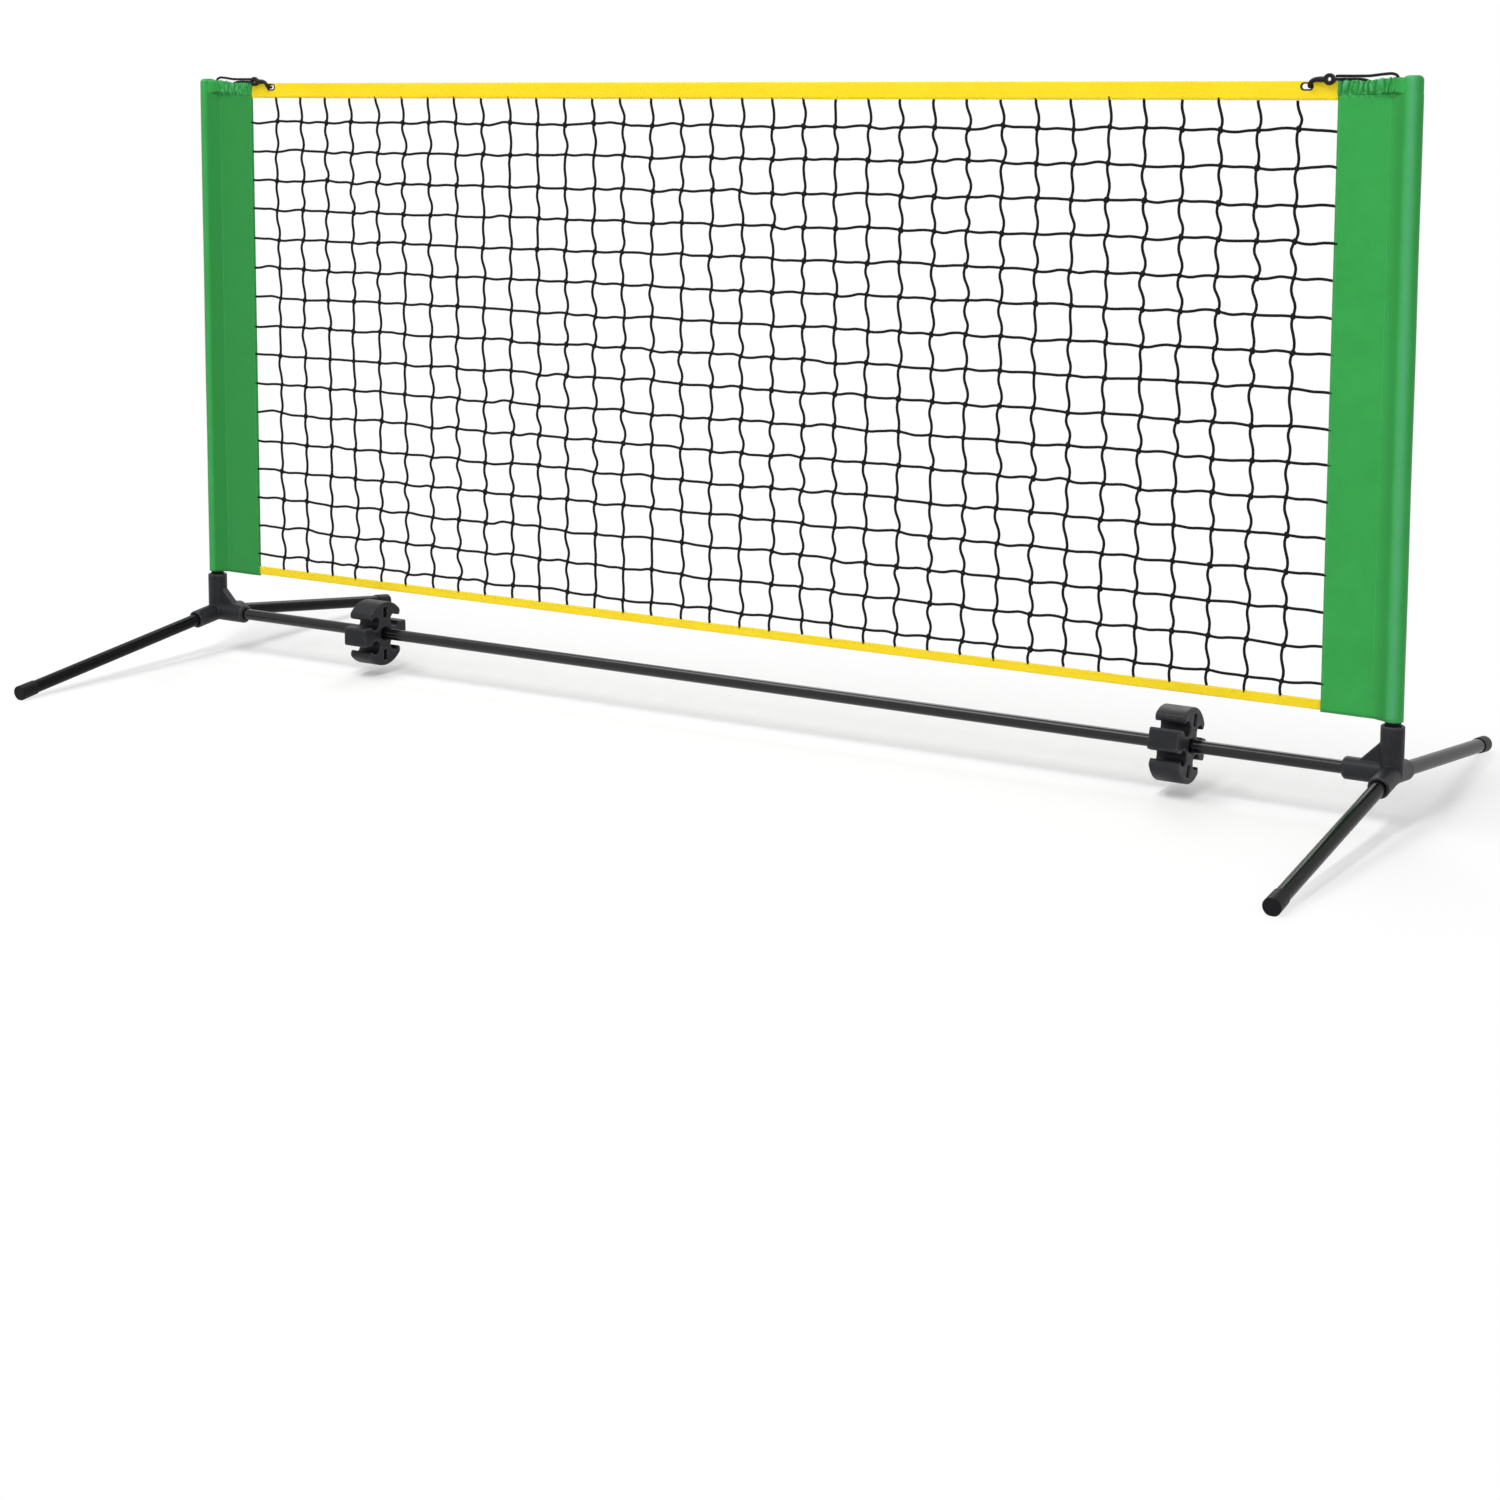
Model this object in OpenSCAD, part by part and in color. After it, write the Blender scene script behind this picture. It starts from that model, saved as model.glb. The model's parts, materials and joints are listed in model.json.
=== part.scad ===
// Portable net for pickleball and other racket sports.
// Units are millimetres. X runs along the net, Y from front to back and Z up.
// The origin is on the floor, under the middle of the crossbar.

/* [Overall] */
// Width over the two sleeves
net_width = 1829; // [1760:1:2400]
// Height of the sleeve tops above the floor
net_height = 860; // [700:1:1000]
// Height of the crossbar's axis above the floor
bar_height = 60; // [54:1:80]
// Distance along the floor from a post's axis to a leg's tip
leg_reach = 398; // [300:1:500]

/* [Tubes] */
// Outer diameter of the posts
post_d = 19; // [17:0.5:20.5]
// Outer diameter of the legs
leg_d = 18; // [16:0.5:20]
// Outer diameter of the crossbar
bar_d = 16; // [14:0.5:17]
// Wall of every tube
tube_wall = 1; // [0.8:0.1:1.5]
// Length of the inner tubes that join two lengths of tube
ferrule_length = 110; // [60:1:160]
// Radial clearance of a tube in its socket and of a ferrule in its tube
tube_fit = 0.05; // [0.02:0.01:0.1]

/* [Hubs] */
// Outer diameter of the upright socket that takes the post
post_socket_d = 28; // [26:0.5:32]
// Outer diameter of the level socket that takes the crossbar
bar_socket_d = 27; // [26:0.5:30]
// Outer diameter of the sloping sockets that take the legs
leg_socket_d = 26; // [25:0.5:30]
// Height of the upright socket's mouth above the crossbar's axis
post_socket_length = 57; // [45:1:80]
// Distance from the post's axis to the mouth of the crossbar's socket
bar_socket_length = 57; // [48:1:80]
// Distance from the post's axis to the mouth of a leg's socket
leg_socket_length = 50; // [40:1:70]
// Solid core between the middle of the hub and the foot of each tube
hub_core = 18; // [16:1:22]
// Thickness of the web between the upright and the level socket
gusset_thickness = 11; // [6:0.5:16]
// Height and length of the web's sloping edge
gusset_size = 23; // [12:1:28]

/* [Leg caps] */
// Wall of a leg cap where it starts
cap_wall = 1; // [0.8:0.1:2]
// Growth of the cap's radius from its mouth to its end
cap_flare = 0.4; // [0.2:0.1:1]
// Length of a leg cap
cap_length = 28; // [20:1:45]
// Thickness of the cap's closed end
cap_end = 4; // [3:0.5:6]
// Depth of the flat that a cap stands on
cap_flat = 0.6; // [0.4:0.1:0.9]

/* [Tube clips] */
// Place of the left clip along the crossbar
left_clip_x = -598; // [-760:1:-400]
// Place of the right clip along the crossbar
right_clip_x = 640; // [400:1:760]
// Turn of the left clip about the crossbar
left_clip_turn = 0; // [-45:0.5:45]
// Turn of the right clip about the crossbar
right_clip_turn = -18.5; // [-45:0.5:45]
// Width of a clip along the crossbar
clip_width = 39; // [24:1:60]
// Size of a clip across its arms
clip_span = 93; // [86:1:98]
// Height of the two box-shaped arms
clip_arm_height = 27; // [25:0.5:28]
// Radius of the curved top of the two mushroom heads
head_radius = 44; // [42:0.5:46]
// Radius of the rounded edges of the heads
lip_radius = 7; // [6:0.5:8]
// Diameter of the four round recesses that hold spare tubes
recess_d = 19.4; // [18.5:0.1:20]
// Distance of a recess from the crossbar's axis, front to back
recess_y = 21.5; // [20:0.5:23]
// Distance of a recess from the crossbar's axis, up or down
recess_z = 17.5; // [16.5:0.5:19]
// Height of a recess's mouth
recess_mouth = 8; // [7:0.5:9]
// Radial clearance of a clip on the crossbar
clip_fit = 0.1; // [0.05:0.01:0.3]

/* [Sleeves] */
// Width of the flat panel, from the post's axis to the net
panel_width = 86; // [70:1:130]
// Thickness of the flat panel, two layers of cloth
panel_thickness = 3; // [2:0.2:5]
// Wall of the sleeve round the post
sleeve_wall = 1.5; // [1:0.1:3]
// Radial clearance of the sleeve round the post
sleeve_fit = 0.5; // [0.3:0.1:1]
// Gap between a hub and the sleeve above it
sleeve_gap = 5; // [2:0.5:20]
// Distance from the post's axis to the place where the layers meet
layers_meet = 18; // [16:1:50]
// Height of the gathered drawcord hem
hem_height = 15.5; // [12:0.5:20]
// Thickness of the hem without its gathers
hem_thickness = 6.8; // [6:0.2:10]
// Distance between two gathers of the hem
gather_pitch = 7.5; // [6:0.1:12]
// Height that a gather stands proud of the hem
gather_height = 1.2; // [0.6:0.1:2]

/* [Net] */
// Number of meshes across the net
mesh_columns = 25; // [10:1:25]
// Number of meshes from the top tape to the bottom tape
mesh_rows = 12; // [6:1:12]
// Width of a net strand
strand_width = 2.8; // [2:0.1:4]
// Thickness of the net
strand_depth = 2.4; // [1.6:0.1:3]
// Height of the top tape
top_tape_height = 22; // [18:1:50]
// Height of the bottom tape
bottom_tape_height = 12; // [8:1:30]
// Thickness of both tapes
tape_thickness = 2.4; // [1.6:0.1:4]

/* [Corner hooks] */
// Diameter of the elastic drawcord
cord_d = 3.4; // [2.5:0.1:3.6]
// Diameter of a hook's shank
hook_d = 4.4; // [3.6:0.1:4.8]
// Outer diameter of the flat head of a hook
hook_head_d = 14; // [12:0.5:14]
// Diameter of the hole in the head
hook_eye_d = 5.6; // [4:0.2:7]
// Thickness of the head
hook_head_thickness = 5; // [4.8:0.2:5.2]
// Outer length of an eyelet
eyelet_length = 16; // [15:0.5:20]
// Outer height of an eyelet
eyelet_height = 9.8; // [9:0.2:12]
// Width of an eyelet's rim
eyelet_rim = 1.9; // [1.4:0.1:2]
// Distance from the sleeve's edge to the middle of the eyelet
eyelet_inset = 37; // [36:0.5:40]

/* [Hidden] */
$fn = 64;

LEFT = -1;
RIGHT = 1;
FRONT = -1;
BACK = 1;

plastic_black = "#2e2f32";
tube_black = "#3a3b3e";
cloth_green = "#2f9e4c";
tape_yellow = "#fbdf2b";
net_black = "#1c1c1e";

// A hair's breadth that lets one cutter run past another
eps = 0.01;

// Posts and sleeves
sleeve_inner_r = post_d / 2 + sleeve_fit;
sleeve_outer_r = sleeve_inner_r + sleeve_wall;
post_x = net_width / 2 - sleeve_outer_r;
hub_top = bar_height + post_socket_length;
sleeve_bottom = hub_top + sleeve_gap;
sleeve_corner = 5.5;
sleeve_top_gap = 0.3;
seam_overlap = 4;
touch_depth = 0.1;
cap_lap = 1;
post_cap_top = net_height - sleeve_wall - sleeve_top_gap;
post_cap_head = 6;
post_cap_corner = 3.5;
post_cap_plug = 16;
post_top = post_cap_top - post_cap_head;
post_foot = bar_height + hub_core;
post_joint = (post_foot + post_top) / 2;

// Crossbar and the mouths of the sockets
bar_end = post_x - hub_core;
bar_joint = bar_end / 3;
post_socket_chamfer = 1.2;
bar_socket_chamfer = 3;
leg_socket_chamfer = 1;
socket_lead_in = 1.2;
gusset_sink = 1;

// Legs: the rim of each cap's end touches the floor, a little below it before the flat is cut
cap_mouth_r = leg_d / 2 + tube_fit + cap_wall;
cap_end_r = cap_mouth_r + cap_flare;
cap_rim = 1.2;
function settle(tilt, passes) =
    passes == 0 ? tilt
    : settle(
        atan((bar_height + cap_flat - cap_rim - (cap_end_r - cap_rim) * cos(tilt)) / leg_reach),
        passes - 1
    );
leg_tilt = settle(0, 6);
leg_end = leg_reach / cos(leg_tilt) + cap_rim;
leg_tube_end = leg_end - cap_end;
leg_foot = hub_core;

// Tapes and net: the first and the last row of meshes are lower than the others
hem_drop = 6.5;
hem_gap = 0.3;
bottom_tape_rise = 2;
panel_edge = post_x - panel_width;
hem_top = net_height - hem_drop;
hem_bottom = hem_top - hem_height;
hem_outer = sleeve_outer_r + hem_gap;
tape_bottom = hem_top - top_tape_height;
bottom_tape_bottom = sleeve_bottom + bottom_tape_rise;
net_bottom = bottom_tape_bottom + bottom_tape_height;
net_span = 2 * panel_edge;
net_rise = tape_bottom - net_bottom;
column_pitch = net_span / mesh_columns;
first_row = 0.77;
last_row = 0.4;
row_pitch = net_rise / (mesh_rows - 2 + first_row + last_row);

// Corner hooks, in the frame of a post's top: inward, back, up
eyelet_x = panel_width + eyelet_inset;
eyelet_z = -12.7;
eyelet_wall = 0.8;
eyelet_flange = 0.8;
barrel_cut = 2 * (eyelet_rim - eyelet_wall);
cord_gap = 0.4;
hook_y = -4.8;
hook_length = 27.7;
hook_head_x = eyelet_x - hook_length;
hook_head_z = -4.5;
CORD_ROUTE = [
    [panel_width + 2, -4.6, -1.2], [panel_width - 1, -4.4, -1],
    [panel_width - 5, -2.4, -1], [panel_width - 10, 0, -1], [64, 0, -1],
    [50, 0, -0.8], [38, 0, 0.6], [30, 0, 1.4], [24, 0, 1.5], [19, 0, -0.5],
    [17, 0, -5.5], [19, 0, -10.5], [24, 0, -12.5], [34, 0, -12.5], [43, 0, -10.8],
    [52, 0, -6.4], [60, 0, -4.7], [panel_width - 10, 0, -4.6],
    [panel_width - 5, -2.4, -4.6], [panel_width - 1, -4.4, -4.7],
    [panel_width + 2, -4.6, -4.8]
];
// Shank and bend of a hook, seen from the middle of its eyelet
HOOK_ROUTE = [
    [-23, -4.8, -4.6], [-17, -4.8, -4.6], [-12, -4.8, -4.8], [-8, -4.8, -6],
    [-5, -4.8, -8.8], [-4, -4.1, -11.9], [-3.8, -2.2, -12.7], [-3.8, 2.2, -12.7],
    [-4.4, 4.4, -12.5], [-7, 5.6, -12], [-12, 5.8, -11.6]
];
route_steps = 3;
cord_sides = 8;
hook_sides = 12;
slot_inner = 60;
slot_outer = 13.5;
slot_floor = -14.6;

// Clips
clip_corner = 3;
clip_neck = 24;
head_flat = 11;
clip_pocket_width = 8;
clip_pocket_height = 15;
clip_pocket_z = 31;
head_mid = clip_span / 2 - head_radius;
lip_z = clip_arm_height / 2 + recess_mouth + lip_radius - touch_depth;
lip_y = sqrt(pow(head_radius - lip_radius + touch_depth, 2) - pow(lip_z - head_mid, 2));
counterbore_r = 10.2;
counterbore_depth = 2;

// ---- Shared shapes ----

// Puts a shape drawn at the right-hand end at either end of the net
module at_end(side) {
    if (side == RIGHT)
        translate([post_x, 0, 0]) children();
    else
        mirror([1, 0, 0]) translate([post_x, 0, 0]) children();
}

// Turns the Z axis so that it runs out of the hub along a leg
module along_leg(way) {
    translate([0, 0, bar_height]) rotate([-way * (90 + leg_tilt), 0, 0]) children();
}

module tube(outer_d, length) {
    difference() {
        cylinder(d = outer_d, h = length);
        translate([0, 0, -1]) cylinder(d = outer_d - 2 * tube_wall, h = length + 2);
    }
}

// A short tube that sits inside two longer ones
module ferrule(outer_d) {
    translate([0, 0, -ferrule_length / 2]) tube(outer_d - 2 * (tube_wall + tube_fit), ferrule_length);
}

// A socket's outside, with a chamfered mouth
module socket(outer_d, length, chamfer) {
    cylinder(d = outer_d, h = length - chamfer);
    translate([0, 0, length - chamfer])
        cylinder(d1 = outer_d, d2 = outer_d - 2 * chamfer, h = chamfer);
}

// A bore from its foot out through the mouth, with a lead-in
module bore(tube_d, foot, mouth, lead_in) {
    bore_d = tube_d + 2 * tube_fit;
    translate([0, 0, foot]) cylinder(d = bore_d, h = mouth - foot + 1);
    translate([0, 0, mouth - lead_in])
        cylinder(d1 = bore_d, d2 = bore_d + 2 * lead_in, h = lead_in + eps);
}

// A disc with a rounded rim, seen as half of its section
module rounded_half(radius, bottom, top, corner) {
    translate([0, bottom]) square([radius, top - corner - bottom]);
    translate([0, bottom]) square([radius - corner, top - bottom]);
    translate([radius - corner, top - corner]) circle(corner);
}

// A slot-shaped outline with round ends
module oval(length, height) {
    square([length - height, height], center = true);
    for (end = [-1, 1])
        translate([end * (length - height) / 2, 0]) circle(d = height);
}

// Smooth line through the points of a route
function between(a, b, c, d, t) =
    0.5 * (2 * b + (c - a) * t + (2 * a - 5 * b + 4 * c - d) * t * t
        + (3 * b - a - 3 * c + d) * t * t * t);
function smooth(route, steps) = [
    for (i = [0 : len(route) - 2], s = [0 : steps - 1])
        between(
            route[max(i - 1, 0)], route[i], route[i + 1],
            route[min(i + 2, len(route) - 1)], s / steps
        ),
    route[len(route) - 1]
];
function unit(v) = v / norm(v);
function heading(line, i) = unit(line[min(i + 1, len(line) - 1)] - line[max(i - 1, 0)]);
function ring(centre, along, upright, radius, sides) =
    let (across = unit(cross(along, upright)), up = cross(across, along))
    [for (k = [0 : sides - 1])
        centre + radius * (cos(360 * k / sides) * across + sin(360 * k / sides) * up)];

// A round rod along a line, with its widest way across set by the upright direction
module rod(line, radius, sides, upright) {
    rings = len(line);
    points = [
        for (i = [0 : rings - 1]) each ring(line[i], heading(line, i), upright, radius, sides)
    ];
    walls = [
        for (i = [0 : rings - 2], k = [0 : sides - 1])
            let (a = i * sides + k, b = i * sides + (k + 1) % sides)
            each [[a, b, b + sides], [a, b + sides, a + sides]]
    ];
    start = [for (k = [1 : sides - 2]) [0, k + 1, k]];
    last = (rings - 1) * sides;
    finish = [for (k = [1 : sides - 2]) [last, last + k, last + k + 1]];
    polyhedron(points, concat(walls, start, finish), convexity = 6);
}

// ---- Base: hubs and crossbar ----

module gusset() {
    reach = post_socket_d / 2 + gusset_size;
    rise = bar_socket_d / 2 + gusset_size;
    translate([0, gusset_thickness / 2, bar_height])
        rotate([90, 0, 0])
            linear_extrude(gusset_thickness)
                polygon([
                    [0, 0], [0, rise], [-post_socket_d / 2 + gusset_sink, rise],
                    [-reach, bar_socket_d / 2 - gusset_sink], [-reach, 0]
                ]);
}

module hub(side) {
    color(plastic_black) at_end(side) difference() {
        union() {
            translate([0, 0, bar_height]) {
                sphere(d = post_socket_d);
                socket(post_socket_d, post_socket_length, post_socket_chamfer);
                rotate([0, -90, 0]) socket(bar_socket_d, bar_socket_length, bar_socket_chamfer);
            }
            for (way = [FRONT, BACK])
                along_leg(way) socket(leg_socket_d, leg_socket_length, leg_socket_chamfer);
            gusset();
        }
        translate([0, 0, bar_height]) {
            bore(post_d, hub_core, post_socket_length, socket_lead_in);
            rotate([0, -90, 0]) bore(bar_d, hub_core, bar_socket_length, socket_lead_in);
        }
        for (way = [FRONT, BACK])
            along_leg(way) bore(leg_d, leg_foot, leg_socket_length, socket_lead_in);
    }
}

module crossbar_tube(from, to) {
    color(tube_black) translate([from, 0, bar_height]) rotate([0, 90, 0]) tube(bar_d, to - from);
}

module crossbar_ferrule(side) {
    color(tube_black) translate([side * bar_joint, 0, bar_height]) rotate([0, 90, 0]) ferrule(bar_d);
}

// ---- Posts ----

module post_tube(side, from, to) {
    color(tube_black) at_end(side) translate([0, 0, from]) tube(post_d, to - from);
}

module post_ferrule(side) {
    color(tube_black) at_end(side) translate([0, 0, post_joint]) ferrule(post_d);
}

module post_cap(side) {
    plug_r = post_d / 2 - tube_wall - tube_fit;
    color(plastic_black) at_end(side) rotate_extrude() {
        rounded_half(post_d / 2, post_top, post_cap_top, post_cap_corner);
        translate([0, post_top - post_cap_plug]) square([plug_r, post_cap_plug + 1]);
    }
}

// ---- Legs ----

module leg(side, way) {
    color(tube_black) at_end(side) along_leg(way)
        translate([0, 0, leg_foot]) tube(leg_d, leg_tube_end - leg_foot);
}

module leg_cap(side, way) {
    mouth = leg_end - cap_length;
    color(plastic_black) at_end(side) difference() {
        along_leg(way) difference() {
            rotate_extrude() {
                polygon([
                    [0, mouth], [cap_mouth_r, mouth], [cap_end_r, leg_end - cap_rim],
                    [cap_end_r - cap_rim, leg_end - cap_rim], [cap_end_r - cap_rim, leg_end],
                    [0, leg_end]
                ]);
                translate([cap_end_r - cap_rim, leg_end - cap_rim]) circle(cap_rim);
            }
            translate([0, 0, mouth - 1])
                cylinder(d = leg_d + 2 * tube_fit, h = leg_tube_end - mouth + 1);
        }
        translate([-leg_d, way * leg_reach - leg_d * 2, -leg_d]) cube([2 * leg_d, 4 * leg_d, leg_d]);
    }
}

// ---- Clips on the crossbar ----

// Above the lips' middles a head is one round arc; each lip is a small round tangent to it
module mushroom_head(up) {
    slope = [2 * lip_y, 2 * (lip_z - head_mid)];
    above = [0, 2 * head_radius];
    wedge = [[0, 0], [-slope.x, slope.y], [-slope.x, slope.y] + above, slope + above, slope];
    intersection() {
        translate([0, up * head_mid]) circle(head_radius, $fn = 96);
        polygon([for (p = wedge) up * (p + [0, head_mid])]);
    }
    for (y = [-1, 1]) translate([y * lip_y, up * lip_z]) circle(lip_radius, $fn = 32);
    translate([-lip_y, up > 0 ? head_flat : -lip_z]) square([2 * lip_y, lip_z - head_flat]);
}

module clip_arms() {
    square([clip_span - 2 * clip_corner, clip_arm_height], center = true);
    square([clip_span, clip_arm_height - 2 * clip_corner], center = true);
    for (y = [-1, 1], z = [-1, 1])
        translate([y * (clip_span / 2 - clip_corner), z * (clip_arm_height / 2 - clip_corner)])
            circle(clip_corner, $fn = 32);
}

// One recess and its mouth, which opens level, above or below a box-shaped arm
module clip_recess(y, z) {
    mouth_y = y > 0 ? recess_y : -clip_span;
    mouth_z = z > 0 ? clip_arm_height / 2 : -clip_arm_height / 2 - recess_mouth;
    translate([y * recess_y, z * recess_z]) circle(d = recess_d);
    translate([mouth_y, mouth_z]) square([clip_span - recess_y, recess_mouth]);
}

module clip_outline() {
    difference() {
        union() {
            square([2 * clip_neck, 2 * clip_neck], center = true);
            for (up = [-1, 1]) mushroom_head(up);
            clip_arms();
        }
        for (y = [-1, 1], z = [-1, 1]) clip_recess(y, z);
        for (z = [-1, 1])
            translate([0, z * clip_pocket_z])
                square([clip_pocket_width, clip_pocket_height], center = true);
        circle(d = bar_d + 2 * clip_fit);
    }
}

module tube_clip(along_bar, turn) {
    color(plastic_black)
        translate([along_bar, 0, bar_height]) rotate([turn, 0, 0]) difference() {
            translate([-clip_width / 2, 0, 0])
                rotate([90, 0, 90]) linear_extrude(clip_width) clip_outline();
            for (end = [-1, 1])
                translate([end * clip_width / 2, 0, 0]) rotate([0, 90, 0])
                    cylinder(r = counterbore_r, h = 2 * counterbore_depth, center = true);
        }
}

// ---- Sleeves ----

// Where a line from a point touches a circle round the origin
function touch(point, radius) =
    let (a = atan2(point.y, point.x) - acos(radius / norm(point)))
    [radius * cos(a), radius * sin(a)];

// Section of the sleeve: round the post, then two layers that meet and run flat to the net
module sleeve_outside() {
    meet = [-layers_meet - seam_overlap, panel_thickness / 2];
    t = touch(meet, sleeve_outer_r - touch_depth);
    circle(sleeve_outer_r);
    polygon([
        t, meet, [-panel_width, panel_thickness / 2], [-panel_width, -panel_thickness / 2],
        [meet.x, -meet.y], [t.x, -t.y]
    ]);
}

module sleeve_inside() {
    meet = [-layers_meet, 0];
    t = touch(meet, sleeve_inner_r - touch_depth);
    circle(sleeve_inner_r);
    polygon([t, meet, [t.x, -t.y]]);
}

module sleeve(side) {
    color(cloth_green) at_end(side) {
        translate([0, 0, sleeve_bottom]) linear_extrude(hem_bottom - sleeve_bottom) difference() {
            sleeve_outside();
            sleeve_inside();
        }
        rotate_extrude() difference() {
            rounded_half(sleeve_outer_r, hem_bottom - cap_lap, net_height, sleeve_corner);
            rounded_half(
                sleeve_inner_r, hem_bottom - 2 * cap_lap, net_height - sleeve_wall,
                sleeve_corner - sleeve_wall
            );
        }
    }
}

// The gathered casing along the top of the flat panel, with a slot for the elastic cord
module drawcord_hem(side) {
    length = panel_width - hem_outer;
    gather_r = hem_thickness / 2 + gather_height;
    gathers = floor((length - 2 * gather_r) / gather_pitch);
    color(cloth_green) at_end(side) difference() {
        union() {
            translate([-panel_width, -hem_thickness / 2, hem_bottom])
                cube([length, hem_thickness, hem_height]);
            for (i = [0 : gathers])
                translate([-panel_width + gather_r + i * gather_pitch, 0, hem_bottom])
                    cylinder(r = gather_r, h = hem_height, $fn = 32);
        }
        translate([-slot_inner, -cord_d / 2 - cord_gap, net_height + slot_floor])
            cube([slot_inner - slot_outer, cord_d + 2 * cord_gap, hem_height]);
    }
}

// ---- Net and tapes ----

module net_mesh() {
    color(net_black) translate([0, strand_depth / 2, 0]) rotate([90, 0, 0]) linear_extrude(strand_depth) {
        for (i = [1 : mesh_columns - 1])
            translate([-panel_edge + i * column_pitch - strand_width / 2, net_bottom])
                square([strand_width, net_rise]);
        for (i = [0 : mesh_rows - 2])
            translate([-panel_edge, net_bottom + (i + last_row) * row_pitch - strand_width / 2])
                square([net_span, strand_width]);
    }
}

module upright_plate(thickness) {
    translate([0, thickness / 2, 0]) rotate([90, 0, 0]) linear_extrude(thickness) children();
}

// Outline of an eyelet's barrel, which fills a hole of the same size in the tape
module barrel_outline() {
    oval(eyelet_length - barrel_cut, eyelet_height - barrel_cut);
}

module top_tape() {
    color(tape_yellow) difference() {
        translate([-panel_edge, -tape_thickness / 2, tape_bottom])
            cube([net_span, tape_thickness, top_tape_height]);
        for (side = [LEFT, RIGHT])
            at_end(side) translate([-eyelet_x, 0, net_height + eyelet_z])
                upright_plate(tape_thickness + 2) barrel_outline();
    }
}

module bottom_tape() {
    color(tape_yellow) translate([-panel_edge, -tape_thickness / 2, bottom_tape_bottom])
        cube([net_span, tape_thickness, bottom_tape_height]);
}

// ---- Corner fastening ----

module eyelet(side) {
    color(plastic_black)
        at_end(side) translate([-eyelet_x, 0, net_height + eyelet_z]) difference() {
        union() {
            upright_plate(tape_thickness) barrel_outline();
            for (face = [FRONT, BACK])
                translate([0, face * (tape_thickness + eyelet_flange) / 2, 0])
                    upright_plate(eyelet_flange) oval(eyelet_length, eyelet_height);
        }
        upright_plate(tape_thickness + 4 * eyelet_flange)
            oval(eyelet_length - 2 * eyelet_rim, eyelet_height - 2 * eyelet_rim);
    }
}

// Frame of a post's top with X running inward, in which the cord and the hook are drawn
module at_post_top(side) {
    at_end(side) translate([0, 0, net_height]) mirror([1, 0, 0]) children();
}

module elastic_cord(side) {
    color(net_black) at_post_top(side)
        rod(smooth(CORD_ROUTE, route_steps), cord_d / 2, cord_sides, [0, 1, 0]);
}

module hook(side) {
    color(plastic_black) at_post_top(side) {
        translate([hook_head_x, hook_y, hook_head_z]) rotate([90, 0, 0]) difference() {
            cylinder(d = hook_head_d, h = hook_head_thickness, center = true);
            cylinder(d = hook_eye_d, h = hook_head_thickness + 2, center = true);
        }
        translate([eyelet_x, 0, 0])
            rod(smooth(HOOK_ROUTE, route_steps), hook_d / 2, hook_sides, [0, 0, 1]);
    }
}

// ---- Pieces by name ----

hub(LEFT);  // left_hub
hub(RIGHT);  // right_hub
crossbar_tube(-bar_end, -bar_joint);  // left_crossbar_tube
crossbar_tube(-bar_joint, bar_joint);  // middle_crossbar_tube
crossbar_tube(bar_joint, bar_end);  // right_crossbar_tube
crossbar_ferrule(LEFT);  // left_crossbar_ferrule
crossbar_ferrule(RIGHT);  // right_crossbar_ferrule
post_tube(LEFT, post_foot, post_joint);  // left_lower_post
post_tube(RIGHT, post_foot, post_joint);  // right_lower_post
post_tube(LEFT, post_joint, post_top);  // left_upper_post
post_tube(RIGHT, post_joint, post_top);  // right_upper_post
post_ferrule(LEFT);  // left_post_ferrule
post_ferrule(RIGHT);  // right_post_ferrule
post_cap(LEFT);  // left_post_cap
post_cap(RIGHT);  // right_post_cap
leg(LEFT, FRONT);  // left_front_leg
leg(LEFT, BACK);  // left_back_leg
leg(RIGHT, FRONT);  // right_front_leg
leg(RIGHT, BACK);  // right_back_leg
leg_cap(LEFT, FRONT);  // left_front_leg_cap
leg_cap(LEFT, BACK);  // left_back_leg_cap
leg_cap(RIGHT, FRONT);  // right_front_leg_cap
leg_cap(RIGHT, BACK);  // right_back_leg_cap
tube_clip(left_clip_x, left_clip_turn);  // left_tube_clip
tube_clip(right_clip_x, right_clip_turn);  // right_tube_clip
sleeve(LEFT);  // left_sleeve
sleeve(RIGHT);  // right_sleeve
drawcord_hem(LEFT);  // left_drawcord_hem
drawcord_hem(RIGHT);  // right_drawcord_hem
top_tape();
bottom_tape();
net_mesh();
eyelet(LEFT);  // left_eyelet
eyelet(RIGHT);  // right_eyelet
elastic_cord(LEFT);  // left_elastic_cord
elastic_cord(RIGHT);  // right_elastic_cord
hook(LEFT);  // left_hook
hook(RIGHT);  // right_hook
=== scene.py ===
# %% [markdown]
# # A portable court net
#
# A low net hangs between two posts in green cloth sleeves. The posts stand in moulded hubs on a
# crossbar, and four splayed legs plug into the hubs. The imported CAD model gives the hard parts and
# every size, and this script dresses it: it gives each part its finish and remakes what is soft.
# Lengths are in metres, X runs along the net, Y from front to back and Z up.

# %% Load the frame
import json
import math

import bmesh
import bpy
import numpy as np
from mathutils import Matrix, Vector, noise


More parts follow.
